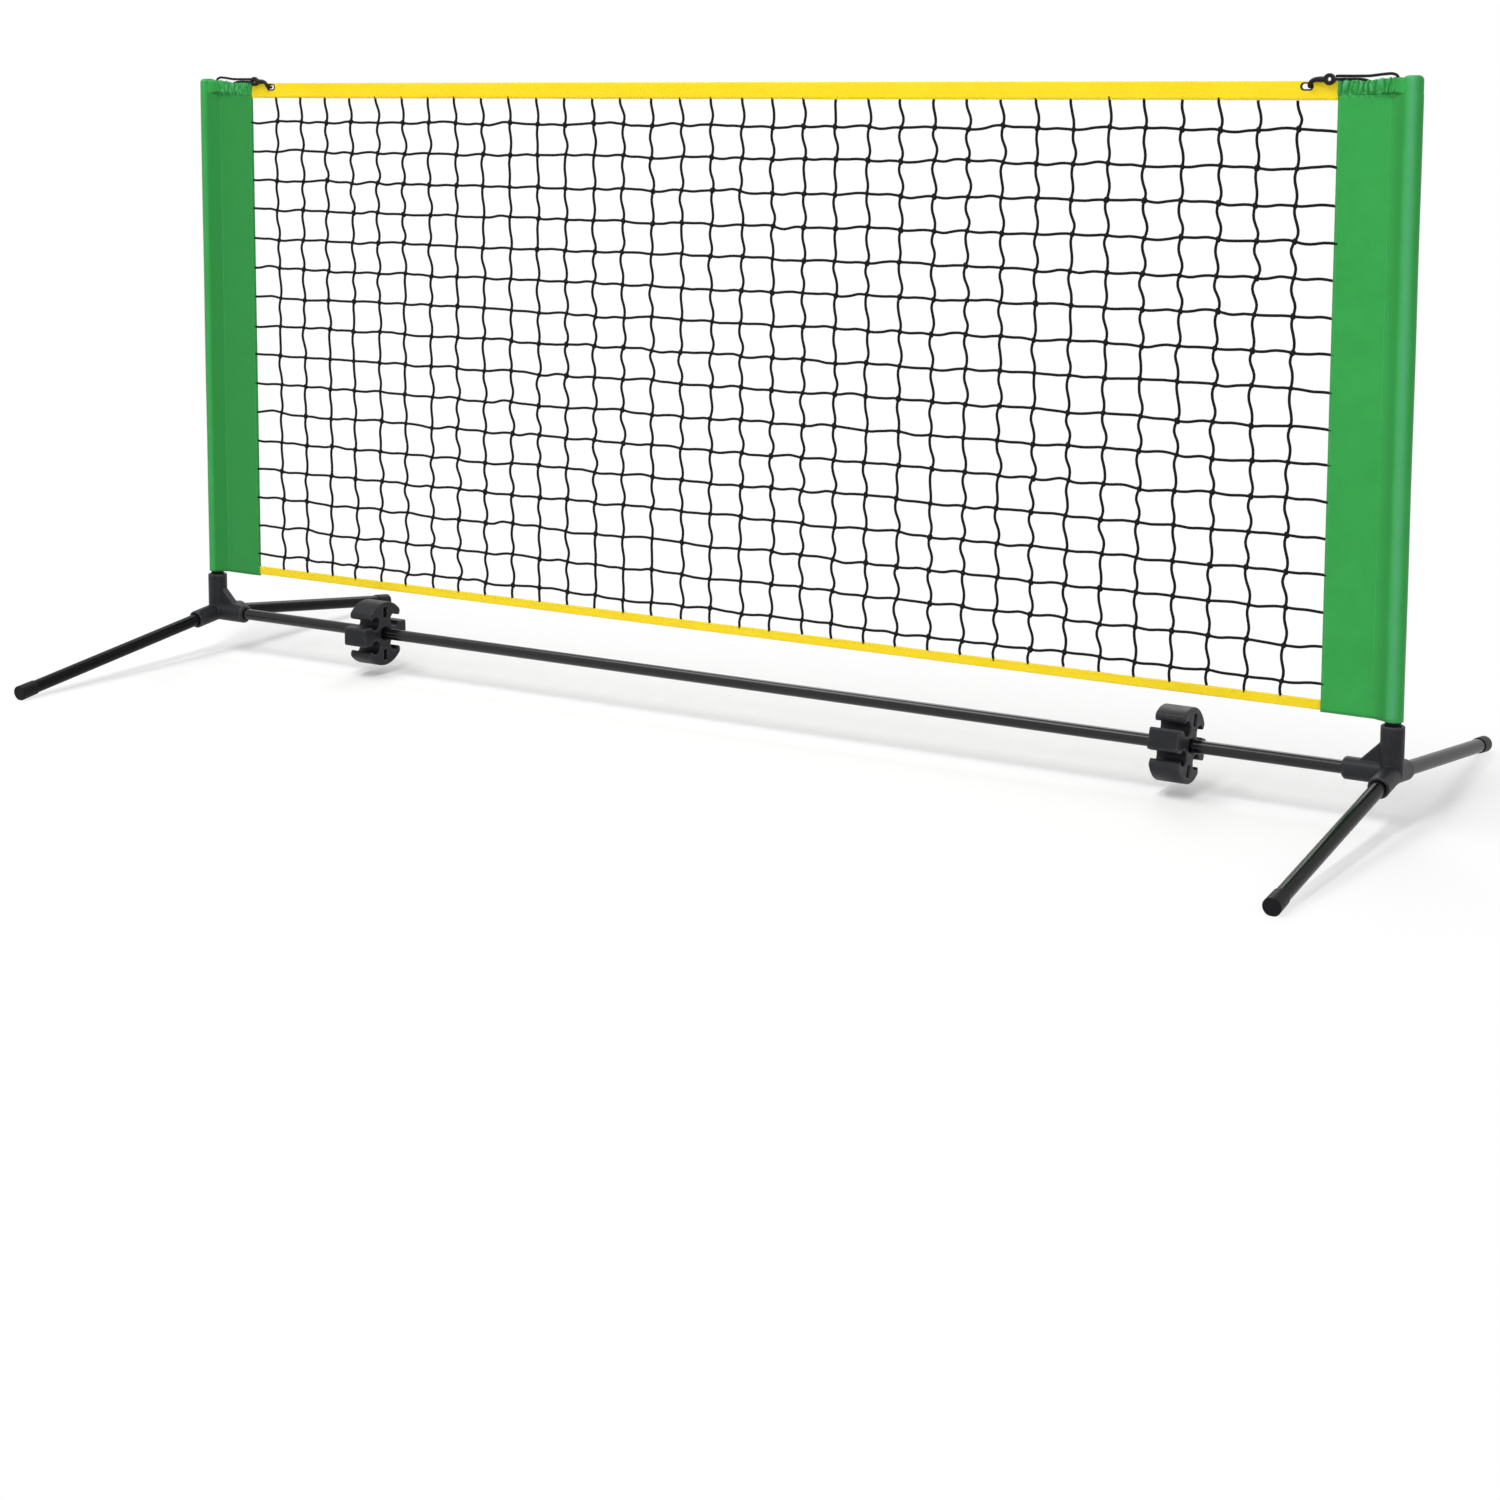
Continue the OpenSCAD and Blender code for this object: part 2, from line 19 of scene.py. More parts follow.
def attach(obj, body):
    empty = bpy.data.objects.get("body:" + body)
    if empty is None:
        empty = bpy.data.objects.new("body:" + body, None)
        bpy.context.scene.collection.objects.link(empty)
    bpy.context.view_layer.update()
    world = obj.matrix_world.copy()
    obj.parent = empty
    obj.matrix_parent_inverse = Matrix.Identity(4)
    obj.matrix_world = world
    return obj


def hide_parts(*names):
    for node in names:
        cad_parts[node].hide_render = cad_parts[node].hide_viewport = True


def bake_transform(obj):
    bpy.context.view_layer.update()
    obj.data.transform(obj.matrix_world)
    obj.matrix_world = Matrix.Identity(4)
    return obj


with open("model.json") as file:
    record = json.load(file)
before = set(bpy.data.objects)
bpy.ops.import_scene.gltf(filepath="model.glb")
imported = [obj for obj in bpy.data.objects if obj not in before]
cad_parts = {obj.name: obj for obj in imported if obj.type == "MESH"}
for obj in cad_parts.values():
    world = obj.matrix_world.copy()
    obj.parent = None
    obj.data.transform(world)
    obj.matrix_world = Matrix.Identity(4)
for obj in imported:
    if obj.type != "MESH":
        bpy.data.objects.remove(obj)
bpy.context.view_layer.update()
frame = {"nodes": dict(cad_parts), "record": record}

# %% [markdown]
# The main sizes of the object are written once, as in the CAD source. What is drawn at the
# right-hand end is drawn again at the left-hand end with X turned round, so most places are given
# from a post's axis inwards.

# %% Sizes
MM = 0.001
POST_X = 903 * MM
NET_TOP = 860 * MM
PANEL_WIDTH = 86 * MM
PANEL_EDGE = POST_X - PANEL_WIDTH
SLEEVE_BOTTOM = 122 * MM
HEM_BOTTOM, HEM_TOP = 838 * MM, 853.5 * MM
TOP_TAPE = (831.5 * MM, 853.5 * MM)
BOTTOM_TAPE = (124 * MM, 136 * MM)
SIDES = {"left": -1, "right": 1}
print(f"net {2 * PANEL_EDGE:.3f} m wide between two sleeves, {NET_TOP:.3f} m high")

# %% [markdown]
# ## Camera
#
# The camera comes first, because everything is judged through it. It stands in front of the right
# half of the net, a little lower than the net's top, and looks to the left and slightly down. A long
# lens keeps the far post nearly as tall as the near one. A vertical shift raises the net in the frame
# and keeps the posts close to upright, as a view camera does.

# %% Camera
def placed(name, data):
    """A new object of the scene that shows the data."""
    made = bpy.data.objects.new(name, data)
    bpy.context.scene.collection.objects.link(made)
    return made


STAND = (1.75728, -2.85203, 0.82106)
TURN, DIP, ROLL = (math.radians(a) for a in (31.1, 6.31, 0.23))
camera_data = bpy.data.cameras.new("camera")
camera_data.sensor_width, camera_data.lens = 36, 61.368
camera_data.shift_y = -0.24
camera_data.dof.use_dof = False
camera = placed("camera", camera_data)
bpy.context.scene.camera = camera
camera.matrix_world = (
    Matrix.Translation(STAND)
    @ Matrix.Rotation(TURN, 4, "Z")
    @ Matrix.Rotation(math.pi / 2 - DIP, 4, "X")
    @ Matrix.Rotation(ROLL, 4, "Z")
)
print(f"lens {camera_data.lens:.1f} mm, {camera.location.length:.2f} m from the net's foot")

# %% [markdown]
# ## Helpers for node trees
#
# Shader trees and geometry trees are built in the same way: add a node, set its values, and join its
# inputs to sockets that exist already. One small function does all three, which keeps each tree
# readable from top to bottom.

# %% Node helpers
def add(tree, kind, inputs=None, **settings):
    """Adds a node; each input takes a value, or a socket that is then linked to it."""
    node = tree.nodes.new(kind)
    for name, value in settings.items():
        setattr(node, name, value)
    for name, value in (inputs or {}).items():
        if isinstance(value, bpy.types.NodeSocket):
            tree.links.new(value, node.inputs[name])
        else:
            node.inputs[name].default_value = value
    return node


def geometry(tree, kind, inputs=None, **settings):
    """The first output of a new geometry node."""
    return add(tree, "GeometryNode" + kind, inputs, **settings).outputs[0]


def math_node(tree, operation, *values):
    return add(tree, "ShaderNodeMath", dict(enumerate(values)), operation=operation).outputs[0]


def times(tree, first, second):
    return math_node(tree, "MULTIPLY", first, second)


def one_over(tree, value):
    return math_node(tree, "DIVIDE", 1.0, value)


def vector_math(tree, operation, *values):
    return add(tree, "ShaderNodeVectorMath", dict(enumerate(values)), operation=operation).outputs[0]


def scaled(tree, vector, factor):
    return add(tree, "ShaderNodeVectorMath", {0: vector, "Scale": factor}, operation="SCALE").outputs[0]


def xyz(tree, x=0.0, y=0.0, z=0.0):
    return add(tree, "ShaderNodeCombineXYZ", {0: x, 1: y, 2: z}).outputs[0]


def attribute(tree, name):
    return add(tree, "ShaderNodeAttribute", attribute_name=name).outputs["Fac"]


def new_group(name, kind, inputs, outputs):
    """A node group; gives the tree, the sockets that bring its inputs and those that take its results.

    An input is given as its default value, or as the name of a kind of socket that has none.
    """
    tree = bpy.data.node_groups.new(name, kind + "NodeTree")
    for label, value in inputs.items():
        sort = value if isinstance(value, str) else "Int" if isinstance(value, int) else "Float"
        made = tree.interface.new_socket(label, in_out="INPUT", socket_type="NodeSocket" + sort)
        if not isinstance(value, str):
            made.default_value = value
    for label, sort in outputs.items():
        tree.interface.new_socket(label, in_out="OUTPUT", socket_type="NodeSocket" + sort)
    return tree, tree.nodes.new("NodeGroupInput").outputs, tree.nodes.new("NodeGroupOutput").inputs


def use_group(tree, group, inputs):
    return add(tree, tree.bl_idname.replace("Tree", "Group"), inputs, node_tree=group).outputs

# %% [markdown]
# ## Shared effects
#
# Several finishes need the same effects, so each effect is a node group that is built once:
#
# - **plain weave** draws threads that pass over and under each other, on a cloth's own UV map, which
#   is in metres, so the threads keep their real size;
# - **braid** draws the crossing yarns of twine and of elastic cord, from how far along the cord and
#   how far round it a spot lies, and marks the gaps between the yarns, which get painted shade;
# - **mottle** gives slow changes of tone and gloss, as handling and moulding leave them;
# - **fine grain** gives the small bumps of powder coat and of textured plastic.

# %% Plain weave
weave, given, result = new_group(
    "plain weave", "Shader", {"Map": "Vector", "Thread": 0.0005}, {"Height": "Float", "Warp": "Float"})
in_threads = scaled(weave, given["Map"], one_over(weave, given["Thread"]))
parts = add(weave, "ShaderNodeSeparateXYZ", {0: in_threads}).outputs
across, upward = (math_node(weave, "SINE", times(weave, parts[axis], math.pi)) for axis in (0, 1))
over = times(weave, across, upward)
crown = math_node(weave, "POWER", math_node(weave, "ABSOLUTE", over), 0.5)
weave.links.new(crown, result["Height"])
weave.links.new(math_node(weave, "GREATER_THAN", over, 0.0), result["Warp"])
print("weave group:", len(weave.nodes), "nodes")

# %% Braid
braid, given, result = new_group(
    "braid", "Shader", {"Pitch": 0.004, "Yarns": 4.0}, {"Height": "Float", "Gap": "Float"})
turns = math_node(braid, "DIVIDE", attribute(braid, "along"), given["Pitch"])
winds = times(braid, attribute(braid, "around"), given["Yarns"])
one_way, other_way = (
    math_node(braid, "SINE", times(braid, math_node(braid, operation, turns, winds), 2 * math.pi))
    for operation in ("ADD", "SUBTRACT"))
high = math_node(braid, "MAXIMUM", one_way, other_way)
braid.links.new(high, result["Height"])
# the gaps between the yarns, which the cord finishes fill with painted shade
braid.links.new(math_node(braid, "LESS_THAN", high, -0.1), result["Gap"])
print("braid group:", len(braid.nodes), "nodes")

# %% Mottle and fine grain
mottle, given, result = new_group(
    "mottle", "Shader", {"Place": "Vector", "Size": 0.05, "Low": 0.0, "High": 1.0}, {"Value": "Float"})
clouds = add(mottle, "ShaderNodeTexNoise", {
    "Vector": given["Place"], "Detail": 4.0, "Roughness": 0.6, "Scale": one_over(mottle, given["Size"])})
spread_out = add(mottle, "ShaderNodeMapRange", {
    "Value": clouds.outputs["Fac"], "From Min": 0.3, "From Max": 0.7,
    "To Min": given["Low"], "To Max": given["High"]})
mottle.links.new(spread_out.outputs["Result"], result["Value"])

grain, given, result = new_group(
    "fine grain", "Shader", {"Place": "Vector", "Size": 0.0005}, {"Height": "Float"})
pebbles = add(grain, "ShaderNodeTexVoronoi", {
    "Vector": given["Place"], "Scale": one_over(grain, given["Size"])}, feature="SMOOTH_F1")
grain.links.new(pebbles.outputs["Distance"], result["Height"])
print("shared effects:", ", ".join(g.name for g in bpy.data.node_groups))

# %% [markdown]
# ## Finishes
#
# Each finish starts from one Principled shader. A value that is the same all over is set on the
# shader's own socket, and the groups drive only what changes over the surface: colour, roughness and
# the height that a Bump node turns into a normal.

# %% Material helpers
def new_finish(name, roughness, sheen=0.0, specular=0.5):
    finish = bpy.data.materials.new(name)
    finish.use_nodes = True
    shader = finish.node_tree.nodes["Principled BSDF"]
    shader.inputs["Roughness"].default_value = roughness
    shader.inputs["Sheen Weight"].default_value = sheen
    shader.inputs["Specular IOR Level"].default_value = specular
    return finish, finish.node_tree, shader


def place_of(tree):
    return add(tree, "ShaderNodeTexCoord").outputs["Object"]


def clouded(tree, place, size, low=0.0, high=1.0):
    return use_group(tree, mottle, {"Place": place, "Size": size, "Low": low, "High": high})[0]


def blend(tree, factor, first, second):
    """A colour between first and second; each is a socket or three numbers."""
    mixed = tree.nodes.new("ShaderNodeMix")
    mixed.data_type = "RGBA"
    tree.links.new(factor, mixed.inputs[0])
    for place, colour in ((6, first), (7, second)):
        if isinstance(colour, bpy.types.NodeSocket):
            tree.links.new(colour, mixed.inputs[place])
        else:
            mixed.inputs[place].default_value = (*colour, 1)
    return mixed.outputs[2]


def tint(tree, shader, factor, first, second):
    tree.links.new(blend(tree, factor, first, second), shader.inputs["Base Color"])


def bump(tree, shader, height, distance, strength=1.0):
    made = add(tree, "ShaderNodeBump", {"Height": height, "Distance": distance, "Strength": strength})
    tree.links.new(made.outputs["Normal"], shader.inputs["Normal"])


def pebble(tree, shader, place, size, depth):
    bump(tree, shader, use_group(tree, grain, {"Place": place, "Size": size})[0], depth)

# %% [markdown]
# The hubs, clips and caps are injection moulded in black polypropylene. A fine pebble texture keeps
# them half matt, and handling leaves slightly glossier clouds on them. The tubes have a smoother
# powder coat whose orange peel is only just seen, so they carry sharp bright lines.

# %% Plastics and tubes
RUBBED = (0.085, 0.086, 0.09)


def moulded(name, low, high, pebbles, depth, gloss, specular):
    """A moulded or coated finish: soft clouds of tone and gloss over fine bumps, lighter where the edges
    wear.
    """
    finish, tree, shader = new_finish(name, gloss[0], specular=specular)
    place = place_of(tree)
    base = blend(tree, clouded(tree, place, 0.03), low, high)
    wear_and_sheen = times(tree, attribute(tree, "wear_and_sheen"), clouded(tree, place, 0.006))
    tint(tree, shader, times(tree, wear_and_sheen, 0.55), base, RUBBED)
    tree.links.new(clouded(tree, place, 0.012, *gloss), shader.inputs["Roughness"])
    pebble(tree, shader, place, pebbles, depth)
    return finish


moulded_black = moulded(
    "moulded_black", (0.013, 0.0135, 0.016), (0.019, 0.0195, 0.023),
    pebbles=0.0009, depth=0.00004, gloss=(0.38, 0.5), specular=0.16)
cap_black = moulded(
    "leg_cap_black", (0.006, 0.006, 0.007), (0.009, 0.009, 0.0105),
    pebbles=0.0008, depth=0.00003, gloss=(0.4, 0.5), specular=0.1)
tube_black = moulded(
    "tube_black", (0.004, 0.004, 0.0045), (0.006, 0.006, 0.007),
    pebbles=0.003, depth=0.000003, gloss=(0.2, 0.26), specular=0.08)
bar_black = moulded(
    "bar_black", (0.0015, 0.0015, 0.002), (0.003, 0.003, 0.004),
    pebbles=0.003, depth=0.000003, gloss=(0.19, 0.24), specular=0.42)
hook_black = moulded(
    "hook_black", (0.005, 0.005, 0.0055), (0.008, 0.008, 0.009),
    pebbles=0.0009, depth=0.00002, gloss=(0.3, 0.4), specular=0.2)
eyelet_black = moulded(
    "eyelet_black", (0.005, 0.005, 0.0055), (0.008, 0.008, 0.009),
    pebbles=0.0007, depth=0.00001, gloss=(0.25, 0.35), specular=0.25)

steel, tree, shader = new_finish("bare_steel", 0.35)
shader.inputs["Metallic"].default_value = 1.0
place = place_of(tree)
tint(tree, shader, clouded(tree, place, 0.02), (0.42, 0.42, 0.43), (0.52, 0.52, 0.53))
pebble(tree, shader, place, 0.0008, 0.00002)
print("hard finishes:", len(bpy.data.materials))

# %% [markdown]
# The sleeves are coated polyester: a close plain weave under a thin clear film, which gives a soft
# sheen. The tapes are the same kind of cloth in yellow, a little coarser. Both read their UV maps.
# The twine is a dull braid of thin yarns, and the elastic has a finer and slightly shinier one.
# Where a piece is marked for it, the cloth's colour also carries painted light: a painted highlight
# over the sleeves' posts and on the crests of the hem's gathers, and painted shade on the slant beside
# each post, over the whole left sleeve and in the hem's creases.

# %% Cloth and cord
def woven(name, low, high, wear_and_sheen, thread, depth, roughness, sheen, weft_tint=0.9):
    """A woven cloth; where a piece is marked, its colour carries a painted highlight (mark above 0)
    and painted shade (mark below 0).
    """
    finish, tree, shader = new_finish(name, roughness, sheen=sheen, specular=0.16)
    uv = add(tree, "ShaderNodeUVMap", uv_map="UVMap").outputs["UV"]
    height, over = use_group(tree, weave, {"Map": uv, "Thread": thread})
    place, painted_light = place_of(tree), attribute(tree, "painted_light")
    base = blend(tree, clouded(tree, place, 0.06), low, high)
    darker = add(tree, "ShaderNodeMapRange", {
        "Value": over, "From Min": 0.0, "From Max": 1.0, "To Min": weft_tint, "To Max": 1.0})
    shaded = scaled(tree, base, darker.outputs["Result"])
    # painted highlight: the sheen colour where the painted-light mark is above 0
    painted_highlight = times(tree, math_node(tree, "MAXIMUM", painted_light, 0.0), clouded(tree, place, 0.02, 0.75, 1.0))
    # painted shade: a darker colour where the painted-light mark is below 0
    painted_shade = math_node(tree, "MAXIMUM", times(tree, painted_light, -1.0), 0.0)
    tint(tree, shader, painted_shade, blend(tree, painted_highlight, shaded, wear_and_sheen), tuple(0.72 * value for value in low))
    bump(tree, shader, height, depth, 0.6)
    return finish


def braided(name, yarn, gap_shade, pitch, yarns, roughness, depth):
    finish, tree, shader = new_finish(name, roughness, sheen=0.02, specular=0.12)
    height, gap_shade_mask = use_group(tree, braid, {"Pitch": pitch, "Yarns": yarns})
    # painted shade: the gaps between the yarns are darker
    tint(tree, shader, gap_shade_mask, yarn, gap_shade)
    bump(tree, shader, height, depth, 0.8)
    return finish


# colours of the painted highlight on the cloth
PAINTED_SHEEN_GREEN, PAINTED_SHEEN_YELLOW = (0.075, 0.37, 0.15), (0.92, 0.74, 0.12)
green_cloth = woven(
    "green_cloth", (0.03, 0.335, 0.062), (0.038, 0.38, 0.075), PAINTED_SHEEN_GREEN,
    thread=0.0006, depth=0.00005, roughness=0.4, sheen=0.04)
yellow_tape = woven(
    "yellow_tape", (0.88, 0.65, 0.011), (0.93, 0.7, 0.017), PAINTED_SHEEN_YELLOW,
    thread=0.0008, depth=0.000005, roughness=0.5, sheen=0.02, weft_tint=0.99)
green_thread = woven(
    "green_thread", (0.12, 0.5, 0.2), (0.16, 0.56, 0.25), PAINTED_SHEEN_GREEN,
    thread=0.0002, depth=0.00003, roughness=0.5, sheen=0.1)
yellow_thread = woven(
    "yellow_thread", (0.83, 0.6, 0.03), (0.88, 0.65, 0.05), PAINTED_SHEEN_YELLOW,
    thread=0.0002, depth=0.00003, roughness=0.5, sheen=0.1)
black_twine = braided(
    "black_twine", (0.006, 0.006, 0.007), (0.003, 0.003, 0.003),
    pitch=0.005, yarns=2.0, roughness=0.7, depth=0.0002)
elastic_black = braided(
    "elastic_black", (0.011, 0.011, 0.012), (0.005, 0.005, 0.005),
    pitch=0.0028, yarns=3.0, roughness=0.6, depth=0.00015)
print("finishes:", ", ".join(sorted(m.name for m in bpy.data.materials)))

# %% [markdown]
# ## Helpers for meshes
#
# A surface that is swept along a line is a row of rings with the same number of points, so one
# function turns rings into a mesh. It also writes the UV map, in metres, and can close the two
# ends. Everything soft on this net is made of such rings, apart from the knotted mesh.

# %% Mesh helpers
SLOTS = {  # the CAD finish that each finish stands for
    moulded_black: "moulded_black", green_cloth: "green_cloth", green_thread: "green_cloth",
    yellow_tape: "yellow_tape", yellow_thread: "yellow_tape", black_twine: "black_twine",
    elastic_black: "elastic_black", hook_black: "hook_black", eyelet_black: "eyelet_black",
}


def new_piece(name, mesh, finish, body):
    """A piece of the scene, which remembers the body it rides on and the slot of its finish."""
    mesh.materials.clear()
    mesh.materials.append(finish)
    piece = placed(name, mesh)
    piece["body"], piece["finish_slot"] = body, SLOTS[finish]
    return piece


def settle(piece, *nodes):
    """Hands a finished piece to the frame: it rides on its body, and the CAD nodes that it stands for are
    hidden.
    """
    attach(piece, piece["body"])
    if nodes:
        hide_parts(*nodes)
    print(f"{piece.name}: {len(piece.data.polygons)} faces on {piece['body']}")


def mesh_from(edited, name):
    """A mesh that takes over an edited one."""
    made = bpy.data.meshes.new(name)
    edited.to_mesh(made)
    edited.free()
    return made


def result_of(carrier):
    """A plain mesh of what an object's modifiers make."""
    depsgraph = bpy.context.evaluated_depsgraph_get()
    return bpy.data.meshes.new_from_object(carrier.evaluated_get(depsgraph))


def places_of(mesh):
    """The points of a mesh, one row each."""
    places = np.empty(len(mesh.vertices) * 3)
    mesh.vertices.foreach_get("co", places)
    return places.reshape(-1, 3)


def mark(mesh, label, values):
    """Writes one number to each point of a mesh."""
    mesh.attributes.new(label, "FLOAT", "POINT").data.foreach_set("value", values)


def run_along(points):
    """How far along a line each of its points is."""
    steps = np.linalg.norm(np.diff(points, axis=0), axis=1)
    return np.concatenate([[0], np.cumsum(steps)])


def bell(values, middle, width):
    """A bell curve: 1 in the middle, and nearly 0 at two widths from it."""
    return np.exp(-((values - middle) / width) ** 2)

# %% Meshes from rings
def grid_mesh(name, rows, uv_rows, caps=(True, True)):
    """Rings of points made into quads; caps close the first and the last ring."""
    rows = [np.asarray(r, float) for r in rows]
    width = len(rows[0])
    mesh = bmesh.new()
    uv = mesh.loops.layers.uv.new("UVMap")
    points = [[mesh.verts.new(p) for p in r] for r in rows]

    def face(corners, spots):
        for loop, spot in zip(mesh.faces.new(corners).loops, spots):
            loop[uv].uv = spot

    for near, far, near_uv, far_uv in zip(points, points[1:], uv_rows, uv_rows[1:]):
        for k in range(width):
            n = (k + 1) % width
            face((near[k], near[n], far[n], far[k]), (near_uv[k], near_uv[k + 1], far_uv[k + 1], far_uv[k]))
    for wanted, row in zip(caps, (0, -1)):
        if wanted:
            middle = mesh.verts.new(rows[row].mean(axis=0))
            for k in range(width):
                face((points[row][(k + 1) % width], points[row][k], middle), [uv_rows[row][k]] * 3)
    bmesh.ops.recalc_face_normals(mesh, faces=mesh.faces)
    made = mesh_from(mesh, name)
    made.shade_smooth()
    return made


def join_meshes(name, meshes):
    """Several meshes as one, with doubles merged and the faces turned outwards."""
    whole = bmesh.new()
    for mesh in meshes:
        whole.from_mesh(mesh)
    bmesh.ops.remove_doubles(whole, verts=whole.verts, dist=1e-6)
    bmesh.ops.recalc_face_normals(whole, faces=whole.faces)
    made = mesh_from(whole, name)
    made.shade_smooth()
    return made


def spun(name, centre, outline, section, step):
    """A section swept round an upright outline, which gives each point and the way outwards there."""
    rows = [[(centre[0] + x + out * nx, centre[1] + y, centre[2] + z + out * nz) for out, y in section]
            for (x, z), (nx, nz) in outline]
    uvs = [[(i * step, k * MM) for k in range(len(section) + 1)] for i in range(len(outline))]
    return grid_mesh(name, rows, uvs, caps=(False, False))


def smooth_line(points, steps):
    """A smooth line through the points, the same curve as in the CAD source."""
    p = [np.array(q, float) for q in points]
    line = []
    for i in range(len(p) - 1):
        a, b, c, d = p[max(i - 1, 0)], p[i], p[i + 1], p[min(i + 2, len(p) - 1)]
        for s in range(steps):
            t = s / steps
            line.append(0.5 * (2 * b + (c - a) * t + (2 * a - 5 * b + 4 * c - d) * t * t
                               + (3 * b - a - 3 * c + d) * t ** 3))
    return np.array(line + [p[-1]])


def swept_tube(name, line, radii, sides, finish, body):
    """A round tube along a line, with attributes that say how far along and how far round a spot is."""
    radii, run, rows = np.broadcast_to(radii, len(line)), run_along(line), []
    shares = [k / sides for k in range(sides)]
    side = Vector((0, 1, 0))
    for i, point in enumerate(line):
        way = Vector(line[min(i + 1, len(line) - 1)] - line[max(i - 1, 0)]).normalized()
        side = (side - way * side.dot(way)).normalized()
        up = way.cross(side)
        rows.append([
            Vector(point) + float(radii[i]) * (math.cos(a) * side + math.sin(a) * up)
            for a in (2 * math.pi * share for share in shares)
        ])
    girth = 2 * math.pi * max(radii)
    mesh = grid_mesh(name, rows, [[(r, share * girth) for share in (*shares, 1)] for r in run])
    mark(mesh, "along", [*np.repeat(run, sides), 0, run[-1]])
    mark(mesh, "around", [*shares * len(line), 0, 0])
    return new_piece(name, mesh, finish, body)


def at_top(side, route):
    """A route drawn inward, back and up from a post's top, in millimetres, put at one end of the net."""
    return np.array([(side * (POST_X - u * MM), y * MM, NET_TOP + z * MM) for u, y, z in route])

# %% [markdown]
# ## Elastic cords
#
# An elastic drawcord gathers each top corner. It runs out of the hook's head, over the hem, turns
# down into the hem at its outer end and comes back along it, so that two strands lie one above the
# other near the hook. Cords come before the rest, because their length is a fact of the object.

# %% Elastic cords
CORD_D = 3.4 * MM
CORD_ROUTE = [
    (88, -4.6, -1.2), (85, -4.4, -1), (81, -2.4, -1), (76, 0, -1), (64, 0, -1), (50, 0, -0.8),
    (38, 0, 0.6), (30, 0, 1.4), (24, 0, 1.5), (19, 0, -0.5), (17, 0, -5.5), (19, 0, -10.5),
    (24, 0, -12.5), (34, 0, -12.5), (43, 0, -10.8), (52, 0, -6.4), (60, 0, -4.7), (76, 0, -4.6),
    (81, -2.4, -4.6), (85, -4.4, -4.7), (88, -4.6, -4.8),
]
for word, side in SIDES.items():
    line = at_top(side, smooth_line(CORD_ROUTE, 6))
    cord = swept_tube(f"{word}_drawcord", line, CORD_D / 2, 12, elastic_black, "net")
    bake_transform(cord)
    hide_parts(f"{word}_elastic_cord")

# %% [markdown]
# ## Hooks
#
# Each hook is one moulding: a flat round head with an eye for the cord, and a shank that drops,
# turns through the eyelet and ends in a blunt tip. The shank is a swept tube, stout beside the head
# and slimmer where it goes through the eyelet. The head is a ring whose section is a rounded
# rectangle, spun round the eye.

# %% Hooks
HOOK_ROUTE = [
    (100, -4.8, -4.6), (106, -4.8, -4.6), (111, -4.8, -4.8), (115, -4.8, -6), (118, -4.8, -8.8),
    (119, -4.1, -11.9), (119.2, -2.2, -12.7), (119.2, 2.2, -12.7), (118.6, 4.4, -12.5),
    (116, 5.6, -12), (111, 5.8, -11.6),
]
HEAD_PLACE, HEAD_R, EYE_R, HEAD_HALF = (95.3, -4.8, -4.5), 6.8 * MM, 2.2 * MM, 2.9 * MM
SHANK_R, TURNS, CORNER = 2.2 * MM, 48, 1.1 * MM


def head_ring(centre):
    """The head: a flat ring with rounded edges whose axis runs front to back."""
    outer, inner, half = HEAD_R - CORNER, EYE_R + CORNER, HEAD_HALF - CORNER
    section = [
        (cx + CORNER * math.cos(a), cy + CORNER * math.sin(a))
        for cx, cy, start in ((outer, half, 0), (inner, half, 90), (inner, -half, 180), (outer, -half, 270))
        for a in (math.radians(start + 22.5 * step) for step in range(5))
    ]
    turns = np.linspace(0, 2 * math.pi, TURNS + 1)
    outline = [((0, 0), (math.cos(a), math.sin(a))) for a in turns]
    return spun("head", centre, outline, section, HEAD_R * 2 * math.pi / TURNS)


for word, side in SIDES.items():
    body = f"{word}_hook"
    line = at_top(side, smooth_line(HOOK_ROUTE, 6))
    spots = np.linspace(0, 1, len(line))
    radii = SHANK_R * (1.04 + 0.55 * bell(spots, 0, 0.3) + 0.12 * bell(spots, 1, 0.08))
    radii[-2:] *= (0.85, 0.55)
    shank = swept_tube(f"{word}_shank", line, radii, 16, hook_black, body)
    whole = join_meshes("j_hook", [shank.data, head_ring(at_top(side, [HEAD_PLACE])[0])])
    bpy.data.objects.remove(shank)
    settle(new_piece(f"{word}_j_hook", whole, hook_black, body), f"{word}_hook")

# %% [markdown]
# ## Eyelets
#
# An oval metal eyelet lines the slot in the tape. Its barrel and its two rolled flanges are one
# section swept round an oval, with the tape held between the flanges.

# %% Eyelets
EYELET_PLACE = (123, 0, -12.7)
OVAL_LENGTH, HOLE_R, SLOT_R = 6.2 * MM, 3.0 * MM, 3.8 * MM
EYELET_SECTION = [  # outward from the hole's edge, and front to back
    (0, -1.2), (0.25, -1.75), (0.8, -2.0), (1.4, -1.85), (1.9, -1.35), (1.9, -1.2), (0.8, -1.2),
    (0.8, 1.2), (1.9, 1.2), (1.9, 1.35), (1.4, 1.85), (0.8, 2.0), (0.25, 1.75), (0, 1.2), (0, 0),
]


def oval(radius, turns=40):
    """Points of an oval and the way outwards at each."""
    made = []
    for k in range(turns):
        a = 2 * math.pi * (k + 0.5) / turns
        shift = math.copysign(OVAL_LENGTH / 2, math.cos(a))
        made.append(((shift + radius * math.cos(a), radius * math.sin(a)), (math.cos(a), math.sin(a))))
    return made


